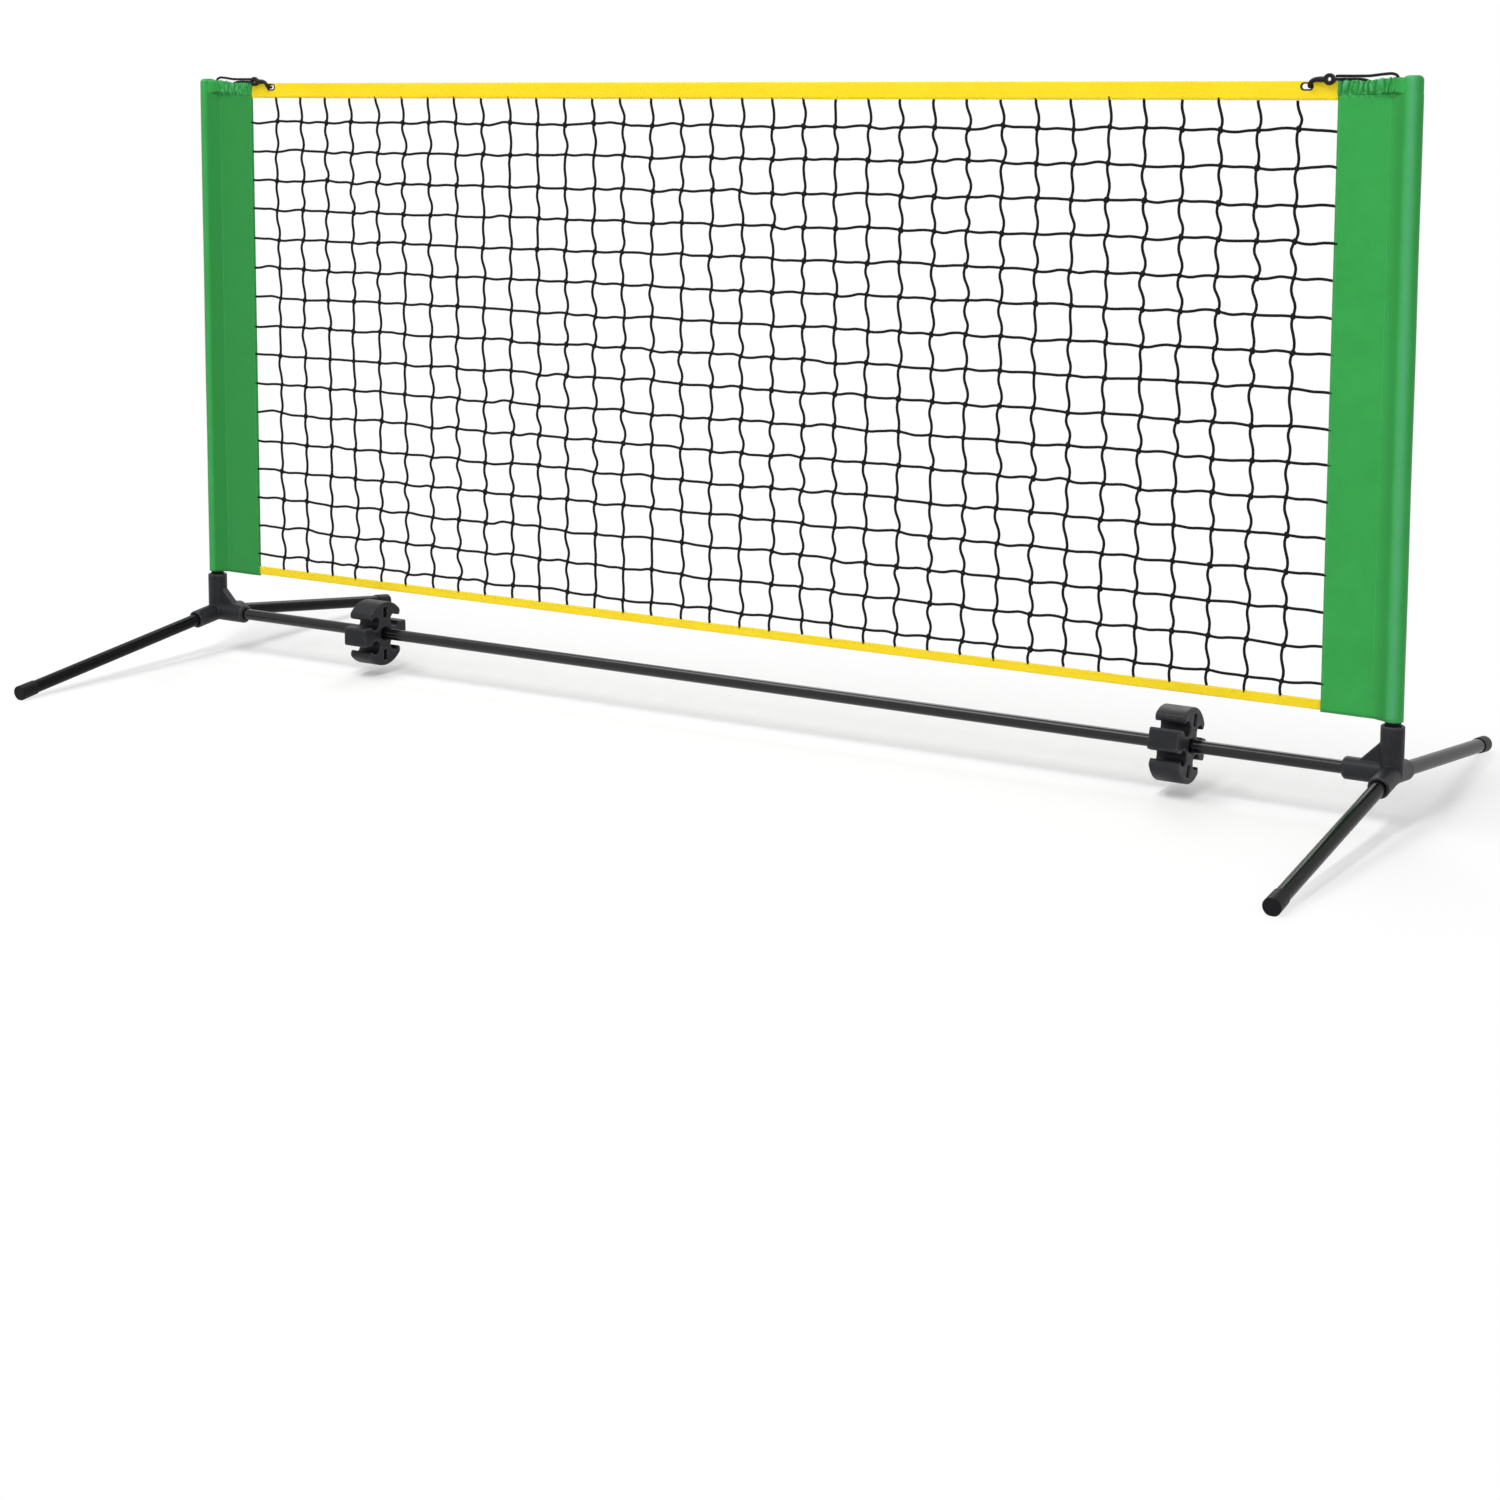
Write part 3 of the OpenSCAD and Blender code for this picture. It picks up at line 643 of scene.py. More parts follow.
for word, side in SIDES.items():
    outline = oval(HOLE_R)
    section = [(out * MM, y * MM) for out, y in EYELET_SECTION]
    swept = spun("eyelet", at_top(side, [EYELET_PLACE])[0], outline + outline[:1], section, MM)
    mesh = join_meshes("eyelet", [swept])
    settle(new_piece(f"{word}_rolled_eyelet", mesh, eyelet_black, "net"), f"{word}_eyelet")

# %% [markdown]
# ## Sleeves
#
# Each sleeve is one sheet of coated cloth, folded round the post and sewn to itself and to the net.
# Seen from above it is a drop: round at the post and flat towards the net. It could be simulated,
# but it is pulled tight between the post and the net, so its shape follows a rule. Rings of that
# drop are stacked from the bottom up, the cloth is given its thickness inwards, and slow folds are
# added that fade out at the seams. Above the hem only the round part goes on, and closes over the
# post's cap.

# %% Sleeve section
SLEEVE_R, CLOTH = 11.5 * MM, 1.3 * MM
PANEL_HALF, MEET = 1.5 * MM, 22 * MM


def sleeve_section():
    """Points of the drop, inward and front to back, from the net's side round the post and back."""
    reach = math.hypot(MEET, PANEL_HALF)
    touch = math.atan2(PANEL_HALF, MEET) + math.acos(SLEEVE_R / reach)
    back = [(u, PANEL_HALF) for u in np.linspace(PANEL_WIDTH, MEET, 22)]
    tangent = (SLEEVE_R * math.cos(touch), SLEEVE_R * math.sin(touch))
    back += [tuple(np.array((MEET, PANEL_HALF)) * (1 - t) + np.array(tangent) * t)
             for t in np.linspace(0, 1, 7)[1:-1]]
    rounded = [(SLEEVE_R * math.cos(a), SLEEVE_R * math.sin(a))
               for a in np.linspace(touch, 2 * math.pi - touch, 40)]
    front = [(u, -y) for u, y in reversed(back)]
    return np.array(back + rounded + front), len(back), touch


SECTION, FLAT_POINTS, TOUCH = sleeve_section()

# %% Sleeve folds
GATHER, MEAN_FOLD = 6.8 * MM, 0.4
CALM_AT_SEAM, CALM_AT_POST = 14 * MM, 20 * MM  # over these widths the folds come in
SLOW_SWAY, QUICK_SWAY = 1.1 * MM, 0.4 * MM
PUCKER, PUCKER_REACH = 2.2 * MM, 15 * MM
POST_SWELL, POST_EASE = 0.3 * MM, 0.25 * MM


def soft_noise(x, y, seed):
    return noise.noise(Vector((x, y, seed * 7.31)))


def share_of(value, start, end):
    """0 before start, 1 after end and a straight line between them."""
    return min(max((value - start) / (end - start), 0), 1)


def eased(value, start, end):
    """Goes smoothly from 0 at start to 1 at end."""
    t = share_of(value, start, end)
    return t * t * (3 - 2 * t)


def gathers(u, lean, face, seed):
    """How far a gather stands out, from 0 in a crease to 1: uneven folds with sharp creases."""
    slow, quick = soft_noise(u / 0.019, face, seed + 11), soft_noise(u / 0.006, lean + face, seed + 12)
    count = u / GATHER + 1.1 * slow + 0.45 * quick
    strength = min(0.3 + 1.9 * abs(soft_noise(u / 0.011, face + 0.8 * lean, seed + 13)), 1)
    return strength * abs(math.sin(math.pi * (count + 0.25 * lean))) ** 0.7


def panel_sway(u, z, seed):
    """How far the flat panel stands forward or back of its plane."""
    edge = min(max((PANEL_WIDTH - u) / CALM_AT_SEAM, 0), 1)
    away = min(max((u - SLEEVE_R) / CALM_AT_POST, 0), 1)
    slow = SLOW_SWAY * soft_noise(u / 0.05, z / 0.16, seed)
    slow += QUICK_SWAY * soft_noise(u / 0.02 + z / 0.05, z / 0.09, seed + 2)
    under_hem = math.exp(-max(HEM_BOTTOM - z, 0) / PUCKER_REACH)
    fold = gathers(u, (z - HEM_BOTTOM) / 0.02, 0.0, seed)
    return edge * away * (slow - PUCKER * under_hem * (fold - MEAN_FOLD))


def round_swell(a, z, seed):
    """How far the cloth round the post stands off it."""
    return POST_SWELL * soft_noise(math.cos(a) * 0.8, z / 0.12, seed + 5) + POST_EASE


def sleeve_ring(z, seed, inset=0.0):
    """One ring of the sleeve; inset moves it inwards by the cloth's thickness."""
    points = []
    last = len(SECTION) - 1
    for k, (u, y) in enumerate(SECTION):
        if k < FLAT_POINTS or k > last - FLAT_POINTS:
            wall = math.copysign(inset, y)
            points.append((min(u, PANEL_WIDTH - inset), y - wall + panel_sway(u, z, seed)))
        else:
            a = math.atan2(y, u)
            r = SLEEVE_R - inset + round_swell(a, z, seed) * min(1, 4 * (1 - math.cos(a)))
            points.append((r * math.cos(a), r * math.sin(a)))
    return points


def cap_ring(radius):
    """A ring of the round part alone, with as many points as the drop."""
    full = 2 * math.pi
    back = np.linspace(0.04, TOUCH, FLAT_POINTS + 1)[:-1]
    rounded = np.linspace(TOUCH, full - TOUCH, len(SECTION) - 2 * FLAT_POINTS)
    return [(radius * math.cos(a), radius * math.sin(a)) for a in (*back, *rounded, *(full - back[::-1]))]

# %% Sleeves
# The sleeves' colour carries painted light: a painted highlight on the round over each post, and painted
# shade on the rest of the round, on the slant beside the post and over the whole left sleeve.
HIGHLIGHT_PEAK, ROUND_SHADE, LEFT_SLEEVE_SHADE = 1.25, 0.25, 0.85
HIGHLIGHT_ANGLES = {-1: math.radians(84), 1: math.radians(100)}  # where the painted highlight sits on each post's round
HIGHLIGHT_WIDTH = math.radians(30)


def dome(radius, top, corner):
    """Radius and height of the rings that close the sleeve over the post."""
    rings = [(radius, z) for z in (HEM_BOTTOM + 1 * MM, HEM_BOTTOM + 6 * MM, top - corner)]
    rings += [(radius - corner + corner * math.cos(a), top - corner + corner * math.sin(a))
              for a in np.radians((20, 40, 60, 80, 90))]
    return rings + [((radius - corner) * 0.5, top + 0.1 * MM)]


def sleeve_shell(side, seed):
    """The outer and the inner layer of a sleeve, and the rim that joins them at the bottom."""
    run = run_along(SECTION)
    heights = list(np.linspace(SLEEVE_BOTTOM, HEM_BOTTOM, 140))
    layers = []
    for inset, corner in ((0.0, 5.5 * MM), (CLOTH, 4.2 * MM)):
        rings = [(z, sleeve_ring(z, seed, inset)) for z in heights]
        rings += [(z, cap_ring(r)) for r, z in dome(SLEEVE_R - inset, NET_TOP - 0.2 * MM - inset, corner)]
        rows = [[(side * (POST_X - u), y, z) for u, y in ring] for z, ring in rings]
        uvs = [[(r, z) for r in (*run, run[-1])] for z, _ in rings]
        layers.append(grid_mesh("layer", rows, uvs, caps=(False, True)))
    width = len(SECTION)
    uvs = [[(k * MM, i * MM) for k in range(width + 1)] for i in (0, 1)]
    edges = [places_of(layer)[:width] for layer in layers]
    return [*layers, grid_mesh("rim", edges, uvs, caps=(False, False))]


def mark_painted_light(mesh, side):
    """Marks a painted highlight on the round over the post (1), and painted shade on the rest of the
    round and on the slant beside it (below 0).

    The whole left sleeve gets painted shade as well.
    """
    x, y, _ = places_of(mesh).T
    u = POST_X - side * x

    def light_on_round(angle):
        # painted highlight in a bell round its angle, painted shade over the rest of the round
        return HIGHLIGHT_PEAK * bell(angle, HIGHLIGHT_ANGLES[side], HIGHLIGHT_WIDTH) - ROUND_SHADE

    tangent_u = SLEEVE_R * math.cos(TOUCH)
    share = np.clip((u - tangent_u) / (MEET + 3 * MM - tangent_u), 0, 1)
    # painted shade on the slant beside the post, where it leaves the round
    beside = light_on_round(TOUCH) * (1 - share) ** 2 - 0.8 * np.sin(math.pi * np.sqrt(share))
    painted_light = np.where(u < tangent_u, light_on_round(np.abs(np.arctan2(y, u))), beside)
    # the whole left sleeve gets painted shade as well
    mark(mesh, "painted_light", painted_light - (LEFT_SLEEVE_SHADE if side < 0 else 0))


sleeves = {}
for seed, (word, side) in enumerate(SIDES.items()):
    shell = join_meshes("sleeve", sleeve_shell(side, seed))
    mark_painted_light(shell, side)
    sleeves[word] = new_piece(f"{word}_post_sleeve", shell, green_cloth, "net")
    settle(sleeves[word], f"{word}_sleeve")

# %% [markdown]
# ## Gathered hems
#
# The elastic runs in a casing along the top of the panel and draws it up into small upright folds.
# The casing is a tube with a tall section that is swept inwards from the post. Its thickness swells
# and pinches with each gather, the folds lean a little at random, and a line of stitching pinches it
# along its lower edge. The crest of each gather gets a painted highlight and its crease painted shade.

# %% Hems
HEM_MIDDLE, HEM_TALL = (HEM_BOTTOM + HEM_TOP) / 2 - 0.5 * MM, (HEM_TOP - HEM_BOTTOM) / 2 + 0.5 * MM
HEM_POINTS, FRONT_SEAM, BACK_SEAM = 40, 25, 35
HEM_RISE, CREST, FRILL = 4.2 * MM, 2.2 * MM, 1.8 * MM
HEM_EASE, GATHER_DEPTH = 0.4 * MM, 3.6 * MM
SEAM_PINCH, SEAM_PLACE, SEAM_WIDTH = 0.28, -0.71, 0.16
BACK_FOLDS = 1.9  # the folds of the back differ from those of the front


def drop_half(u):
    """Half the sleeve's thickness at a distance from the post's axis."""
    tangent_u, tangent_y = SLEEVE_R * math.cos(TOUCH), SLEEVE_R * math.sin(TOUCH)
    return tangent_y + (PANEL_HALF - tangent_y) * share_of(u, tangent_u, MEET)


def hem_ring(u, close, seed):
    """One ring of the hem; close runs from 1 to 0 where the tube ends."""
    free = eased(u, 8 * MM, 26 * MM)
    rise = HEM_RISE * (1 - eased(u, 10 * MM, 62 * MM))
    ring = []
    for k in range(HEM_POINTS):
        a = 2 * math.pi * k / HEM_POINTS
        c, s = math.cos(a), math.sin(a)
        fold = gathers(u, s, BACK_FOLDS if c > 0 else 0.0, seed) * free
        beyond = fold - MEAN_FOLD * free
        pinch = 1 - SEAM_PINCH * free * bell(s, SEAM_PLACE, SEAM_WIDTH)
        half = (drop_half(u) + (HEM_EASE + GATHER_DEPTH * fold) * free) * pinch * close
        y = math.copysign(half * abs(c) ** (0.2 + 0.4 * free), c)
        crest = (CREST * beyond + rise) * eased(s, 0.0, 0.8)
        frill = FRILL * beyond * eased(-s, 0.4, 0.9)
        z = HEM_MIDDLE + HEM_TALL * math.copysign(abs(s) ** 0.75, s) + crest - frill
        # painted light on the gathers: a painted highlight on each crest and painted shade in each crease
        tone = (2.2 * fold - 1.25) * free
        ring.append((u, y, z, tone))
    return ring


def hem_piece(word, side, seed):
    """The hem, and the two lines that its stitching follows."""
    stations = np.linspace(4.5 * MM, PANEL_WIDTH + 0.8 * MM, 240)
    rows, uvs, painted_fold_light, seams = [], [], [], ([], [])
    for u in stations:
        close = min((stations[-1] - u) / (2.5 * MM), 1)
        ring = hem_ring(u, math.sqrt(max(1 - (1 - close) ** 2, 0.02)), seed)
        rows.append([(side * (POST_X - across), y, z) for across, y, z, _ in ring])
        painted_fold_light += [tone for *_, tone in ring]
        uvs.append([(u, k * 1.2 * MM) for k in range(HEM_POINTS + 1)])
        if 20 * MM < u < PANEL_WIDTH - 2 * MM:
            for line, k in zip(seams, (FRONT_SEAM, BACK_SEAM)):
                line.append(rows[-1][k])
    mesh = grid_mesh("hem", rows, uvs)
    # the crests' painted highlight and the creases' painted shade, for the cloth's finish
    mark(mesh, "painted_light", painted_fold_light + [0.0, 0.0])
    return new_piece(f"{word}_gathered_hem", mesh, green_cloth, "net"), seams


hem_seams = []
for seed, (word, side) in enumerate(SIDES.items()):
    hem, seams = hem_piece(word, side, seed)
    hem_seams += seams
    settle(hem, f"{word}_drawcord_hem")

# %% [markdown]
# ## Tapes
#
# A folded tape binds the net's top edge and a narrower one its bottom edge. Each is a strip of cloth
# folded over the end of the mesh, so its section is a flat hairpin: rounded at the fold and open at
# the other side. Where an upright strand is caught inside, the cloth shows a faint ridge. The strip
# wavers a little, as sewn tape does.

# %% Net layout
STRANDS_ACROSS, STRANDS_DOWN = 34, 16
NET_SPAN = 2 * PANEL_EDGE
COLUMN = NET_SPAN / (STRANDS_ACROSS + 1)
BOTTOM_GAP, TOP_GAP = 18 * MM, 34 * MM
FIRST_ROW_Z = BOTTOM_TAPE[1] + BOTTOM_GAP
ROW = (TOP_TAPE[0] - TOP_GAP - FIRST_ROW_Z) / (STRANDS_DOWN - 1)
strand_x = [-PANEL_EDGE + COLUMN * (i + 1) for i in range(STRANDS_ACROSS)]
print(f"meshes of {COLUMN * 1000:.1f} by {ROW * 1000:.1f} mm")

# %% Tapes
TAPE_HALF, TAPE_WALL, FLARE = 1.15 * MM, 0.8 * MM, 1.12
RIDGE, RIDGE_WIDTH = 0.28 * MM, 1.1 * MM
TAPE_SEEDS = {"folded_top_tape": 21, "folded_bottom_tape": 22}


def tape_stations():
    """Places along the tape: evenly spread, and closer beside each strand."""
    places = set(np.round(np.linspace(-PANEL_EDGE - 0.5 * MM, PANEL_EDGE + 0.5 * MM, 330), 5))
    for x in strand_x:
        places |= {round(x + d * MM, 5) for d in (-2.2, -1.4, -0.7, 0, 0.7, 1.4, 2.2)}
    return sorted(places)


def hairpin(tall):
    """The section of a folded tape, front to back and up: outside over the fold, then back inside."""
    half, fold = TAPE_HALF, tall - TAPE_HALF
    leg = [(-half * (1 + (FLARE - 1) * (1 - t)), t * fold) for t in np.linspace(0, 1, 7)]
    bow = [(-half * math.cos(a), fold + half * math.sin(a)) for a in np.radians((30, 60, 90, 120, 150))]
    back = [(-y, z) for y, z in reversed(leg)]
    inside = [(half * FLARE - TAPE_WALL, 0), (half - TAPE_WALL, fold * 0.5)]
    return leg + bow + back + inside + [(0, fold * 0.52)] + [(-y, z) for y, z in reversed(inside)]


def tape_waver(x, seed):
    """How far a tape's open edge rises and how far the tape stands back."""
    sway = 0.5 * MM * soft_noise(x / 0.13, 3, seed) * min(1, max(0, PANEL_EDGE - abs(x)) / 0.05)
    return 0.35 * MM * soft_noise(x / 0.09, 0, seed), sway


def tape_piece(name, low, high, fold_at_top):
    """A folded tape between two heights; the hairpin's legs are closed by the cut edge."""
    tall = high - low
    outline = hairpin(tall)
    run = run_along(outline)
    rows, uvs = [], []
    for x in tape_stations():
        waver, sway = tape_waver(x, TAPE_SEEDS[name])
        ridge = RIDGE * bell(min(abs(x - s) for s in strand_x), 0, RIDGE_WIDTH)
        row = []
        for y, z in outline:
            open_share = 1 - z / tall
            lift = waver * open_share * (1 if fold_at_top else 0.8)
            out = ridge * math.copysign(1, y) * max(0, open_share) if abs(y) > 0.6 * MM else 0
            row.append((x, y + out + sway, (low + z if fold_at_top else high - z) + lift))
        rows.append(row)
        uvs.append([(x, r) for r in (*run, run[-1] + TAPE_WALL)])
    mesh = join_meshes(name, [grid_mesh(name, rows, uvs)])
    return new_piece(name, mesh, yellow_tape, "net")


def cut_slots(piece):
    """Cuts the two oval slots that the eyelets line."""
    cutter = bmesh.new()
    for side in SIDES.values():
        x0, _, z0 = at_top(side, [EYELET_PLACE])[0]
        ring = [(x0 + x, z0 + z) for (x, z), _ in oval(SLOT_R)]
        front, back = ([cutter.verts.new((x, y, z)) for x, z in ring] for y in (-0.01, 0.01))
        cutter.faces.new(front)
        cutter.faces.new(back[::-1])
        for k in range(len(ring)):
            n = (k + 1) % len(ring)
            cutter.faces.new((front[k], back[k], back[n], front[n]))
    bmesh.ops.recalc_face_normals(cutter, faces=cutter.faces)
    tool = placed("cutter", mesh_from(cutter, "cutter"))
    cut = piece.modifiers.new("slots", "BOOLEAN")
    cut.object, cut.operation, cut.solver = tool, "DIFFERENCE", "EXACT"
    piece.data = result_of(piece)
    piece.modifiers.clear()
    bpy.data.objects.remove(tool)


top_tape = tape_piece("folded_top_tape", *TOP_TAPE, fold_at_top=True)
cut_slots(top_tape)
bottom_tape = tape_piece("folded_bottom_tape", *BOTTOM_TAPE, fold_at_top=False)
for piece, node, height in ((top_tape, "top_tape", 0.022), (bottom_tape, "bottom_tape", 0.012)):
    settle(piece, node)

# %% [markdown]
# ## The mesh of the net
#
# The net has 34 upright and 16 level strands with a small knot at each crossing. That is a rule, so
# Geometry Nodes make it: lines of points carry the strands, a grid of points carries the knots, and
# one shared group shifts every point by the same slow noise. Strands and knots therefore stay
# together, although no mesh is quite square. The same group also turns each knot a little, as a
# machine ties it, so a strand runs in a shallow S from knot to knot: a sine that is nought at every
# knot does that for strands both ways. The sizes are named inputs of the tree.

# %% Shared wander of the net
wander, given, result = new_group("wander", "Geometry", {
    "Amount": 0.01, "Cell": 0.05, "Seed": 3.0, "Twist": 0.0028, "Column": 0.0467, "Row": 0.043,
    "First Column": -0.77, "First Row": 0.154}, {"Offset": "Vector"})
spot = geometry(wander, "InputPosition")
field = add(wander, "ShaderNodeTexNoise", {
    "Vector": spot, "W": given["Seed"], "Detail": 1.5, "Roughness": 0.55,
    "Scale": one_over(wander, given["Cell"])}, noise_dimensions="4D")
centred = vector_math(wander, "SUBTRACT", field.outputs["Color"], (0.5, 0.5, 0.5))
flattened = vector_math(wander, "MULTIPLY", centred, (1.0, 0.25, 1.0))
moved = scaled(wander, flattened, given["Amount"])
place = add(wander, "ShaderNodeSeparateXYZ", {0: spot}).outputs


def wave(axis, first, step):
    """A sine that is nought at every knot of a row or a column."""
    from_first = math_node(wander, "SUBTRACT", place[axis], given[first])
    count = math_node(wander, "DIVIDE", from_first, given[step])
    return math_node(wander, "SINE", times(wander, count, 2 * math.pi))


lean = add(wander, "ShaderNodeTexNoise", {
    "Vector": spot, "W": math_node(wander, "ADD", given["Seed"], 7.0), "Detail": 0.0, "Scale": 3.5},
    noise_dimensions="4D")
strength = times(wander, given["Twist"], times(wander, lean.outputs["Fac"], 2.0))
sideways = times(wander, strength, wave("Z", "First Row", "Row"))
downward = times(wander, times(wander, strength, -0.3), wave("X", "First Column", "Column"))
twisted = xyz(wander, x=sideways, z=downward)
wander.links.new(vector_math(wander, "ADD", moved, twisted), result["Offset"])
print("wander group:", len(wander.nodes), "nodes")

# %% Net tree
net_tree, given, result = new_group("knotted net", "Geometry", {
    "Geometry": "Geometry", "Across": 34, "Down": 16, "Column": 0.0467, "Row": 0.043,
    "Half Width": 0.817, "Tuck": 0.002, "Bottom": 0.136, "Top": 0.8315, "First Row": 0.154,
    "Twine": 0.0036, "Knot": 0.0072, "Wander": 0.013, "Twist": 0.0021, "Seed": 3.0,
    "Finish": "Material"}, {"Geometry": "Geometry"})
first_x = math_node(net_tree, "SUBTRACT", given["Column"], given["Half Width"])


def point_row(count, start, step):
    return geometry(net_tree, "MeshLine", {"Count": given[count], "Start Location": start, "Offset": step})


def strand(start, end, points):
    line = geometry(net_tree, "CurvePrimitiveLine", {"Start": start, "End": end})
    return geometry(net_tree, "ResampleCurve", {"Curve": line, "Count": points})


def on_points(tree, points, instance, **more):
    return geometry(tree, "InstanceOnPoints", {"Points": points, "Instance": instance, **more})


def made_real(tree, instances):
    return geometry(tree, "RealizeInstances", {"Geometry": instances})


def joined(tree, *shapes):
    both = add(tree, "GeometryNodeJoinGeometry")
    for shape in shapes:
        tree.links.new(shape, both.inputs[0])
    return both.outputs[0]


def drifted(shape):
    """The shape with every point shifted by the shared wander."""
    layout = {name: given[name] for name in ("Seed", "Twist", "Column", "Row", "First Row")}
    layout |= {"Amount": given["Wander"], "Cell": 0.05, "First Column": first_x}
    drift = use_group(net_tree, wander, layout)[0]
    return geometry(net_tree, "SetPosition", {"Geometry": shape, "Offset": drift})


def stored(shape, name, value):
    return geometry(net_tree, "StoreNamedAttribute", {"Geometry": shape, "Name": name, "Value": value},
                    data_type="FLOAT", domain="POINT")


def hand_out(tree, shape):
    """Smooths a shape, gives it the tree's finish and hands it out."""
    rounded = geometry(tree, "SetShadeSmooth", {"Geometry": shape})
    finished = geometry(tree, "SetMaterial", {"Geometry": rounded, "Material": given["Finish"]})
    tree.links.new(finished, result["Geometry"])


columns = point_row("Across", xyz(net_tree, first_x), xyz(net_tree, given["Column"]))
rows = point_row("Down", xyz(net_tree, z=given["First Row"]), xyz(net_tree, z=given["Row"]))
upright = strand(xyz(net_tree, z=given["Bottom"]), xyz(net_tree, z=given["Top"]), 150)
reach = math_node(net_tree, "ADD", given["Half Width"], given["Tuck"])
level = strand(xyz(net_tree, times(net_tree, reach, -1.0)), xyz(net_tree, reach), 317)
both = joined(net_tree, on_points(net_tree, rows, level), on_points(net_tree, columns, upright))
spline = add(net_tree, "GeometryNodeSplineParameter").outputs
marked = stored(drifted(made_real(net_tree, both)), "along", spline["Length"])
circle = geometry(net_tree, "CurvePrimitiveCircle", {
    "Resolution": 7, "Radius": times(net_tree, given["Twine"], 0.5)})
section = stored(circle, "around", spline["Factor"])
twine = geometry(net_tree, "CurveToMesh", {
    "Curve": marked, "Profile Curve": section, "Fill Caps": True})

# %% Knots
knots_at = drifted(made_real(net_tree, on_points(net_tree, columns, rows)))
ball = geometry(net_tree, "MeshUVSphere", {
    "Segments": 8, "Rings": 6, "Radius": times(net_tree, given["Knot"], 0.5)})
flat_ball = geometry(net_tree, "Transform", {"Geometry": ball, "Scale": (1.0, 0.75, 1.15)})
turned = add(net_tree, "FunctionNodeRandomValue", {
    "Min": (-0.3, -0.7, -0.3), "Max": (0.3, 0.7, 0.3), "Seed": 5}, data_type="FLOAT_VECTOR")
sized = add(net_tree, "FunctionNodeRandomValue", {2: 0.85, 3: 1.12, "Seed": 9}, data_type="FLOAT")
turn_by = add(net_tree, "FunctionNodeEulerToRotation", {0: turned.outputs[0]}).outputs[0]
knots = on_points(net_tree, knots_at, flat_ball, Rotation=turn_by, Scale=sized.outputs[1])
hand_out(net_tree, joined(net_tree, made_real(net_tree, knots), twine))
print("net tree:", len(net_tree.nodes), "nodes")

# %% [markdown]
# The tree runs on an empty mesh. Its inputs are set by their identifiers, the result is copied out as
# a plain mesh, and the modifier goes away with the carrier.

# %% Run a tree
def run_tree(name, tree, values, finish, mesh=None):
    """A piece of the net's body, made by a geometry tree from a mesh or from nothing."""
    carrier = placed(name + "_carrier", mesh or bpy.data.meshes.new(name + "_carrier"))
    modifier = carrier.modifiers.new("nodes", "NODES")
    modifier.node_group = tree
    values = {**values, "Finish": finish}
    for item in tree.interface.items_tree:
        if item.item_type == "SOCKET" and item.in_out == "INPUT" and item.name in values:
            modifier[item.identifier] = values[item.name]
    carrier.update_tag()
    made = result_of(carrier)
    bpy.data.objects.remove(carrier)
    made.name = name
    return new_piece(name, made, finish, "net")


HIDDEN_END = 1.5 * MM
settle(run_tree("knotted_net", net_tree, {
    "Across": STRANDS_ACROSS, "Down": STRANDS_DOWN, "Column": COLUMN, "Row": ROW,
    "Half Width": PANEL_EDGE, "Tuck": 2 * MM, "Bottom": BOTTOM_TAPE[1] - HIDDEN_END,
    "Top": TOP_TAPE[0] + HIDDEN_END, "First Row": FIRST_ROW_Z}, black_twine), "net_mesh")

# %% [markdown]
# ## Stitching
#
# Seams are what make sewn cloth believable. A small tree puts one short thread, a stretched ball, at
# every step along a line, turned to lie along it. The same tree sews the tapes, the sleeves' seams
# and the hems; each seam is only a line of points.

# %% Stitch tree
stitch_tree, given, result = new_group("stitches", "Geometry", {
    "Geometry": "Geometry", "Step": 0.004, "Length": 0.0028, "Thread": 0.0006,
    "Finish": "Material"}, {"Geometry": "Geometry"})
seam = geometry(stitch_tree, "MeshToCurve", {"Mesh": given["Geometry"]})
steps = geometry(stitch_tree, "ResampleCurve", {"Curve": seam, "Length": given["Step"]}, mode="LENGTH")
heading = geometry(stitch_tree, "InputTangent")
lying = add(stitch_tree, "FunctionNodeAlignRotationToVector", {"Vector": heading}, axis="Z").outputs[0]
bead = geometry(stitch_tree, "MeshUVSphere", {"Segments": 6, "Rings": 4, "Radius": 0.5})
size = xyz(stitch_tree, given["Thread"], given["Thread"], given["Length"])
sewn = on_points(stitch_tree, steps, bead, Rotation=lying, Scale=size)
hand_out(stitch_tree, made_real(stitch_tree, sewn))
print("stitch tree:", len(stitch_tree.nodes), "nodes")


def sew(name, lines, step, length, thread, finish):
    """Sews along several lines of points and hands the thread to the frame."""
    verts, edges = [], []
    for points in lines:
        start = len(verts)
        verts += [tuple(p) for p in points]
        edges += [(start + i, start + i + 1) for i in range(len(points) - 1)]
    mesh = bpy.data.meshes.new(name + "_line")
    mesh.from_pydata(verts, edges, [])
    settle(run_tree(name, stitch_tree, {"Step": step, "Length": length, "Thread": thread}, finish, mesh))

# %% Seams
def tape_seam(z, face, seed, rise):
    """A seam on one face of a tape, which follows the tape's own waver."""
    points = []
    for x in np.linspace(-PANEL_EDGE + 2 * MM, PANEL_EDGE - 2 * MM, 600):
        waver, sway = tape_waver(x, seed)
        points.append((x, face * 1.28 * MM + sway, z + waver * rise))
    return points


def sleeve_seam(u, face, side, seed):
    """An upright seam on one face of a sleeve, at a distance from the post's axis."""
    points = []
    for z in np.linspace(SLEEVE_BOTTOM + 2 * MM, HEM_BOTTOM - 1 * MM, 240):
        ring = np.array(sleeve_ring(z, seed))
        half = ring[-FLAT_POINTS:] if face < 0 else ring[:FLAT_POINTS][::-1]
        order = np.argsort(half[:, 0])
        y = float(np.interp(u, half[order, 0], half[order, 1]))
        points.append((side * (POST_X - u), y + face * 0.12 * MM, z))
    return points


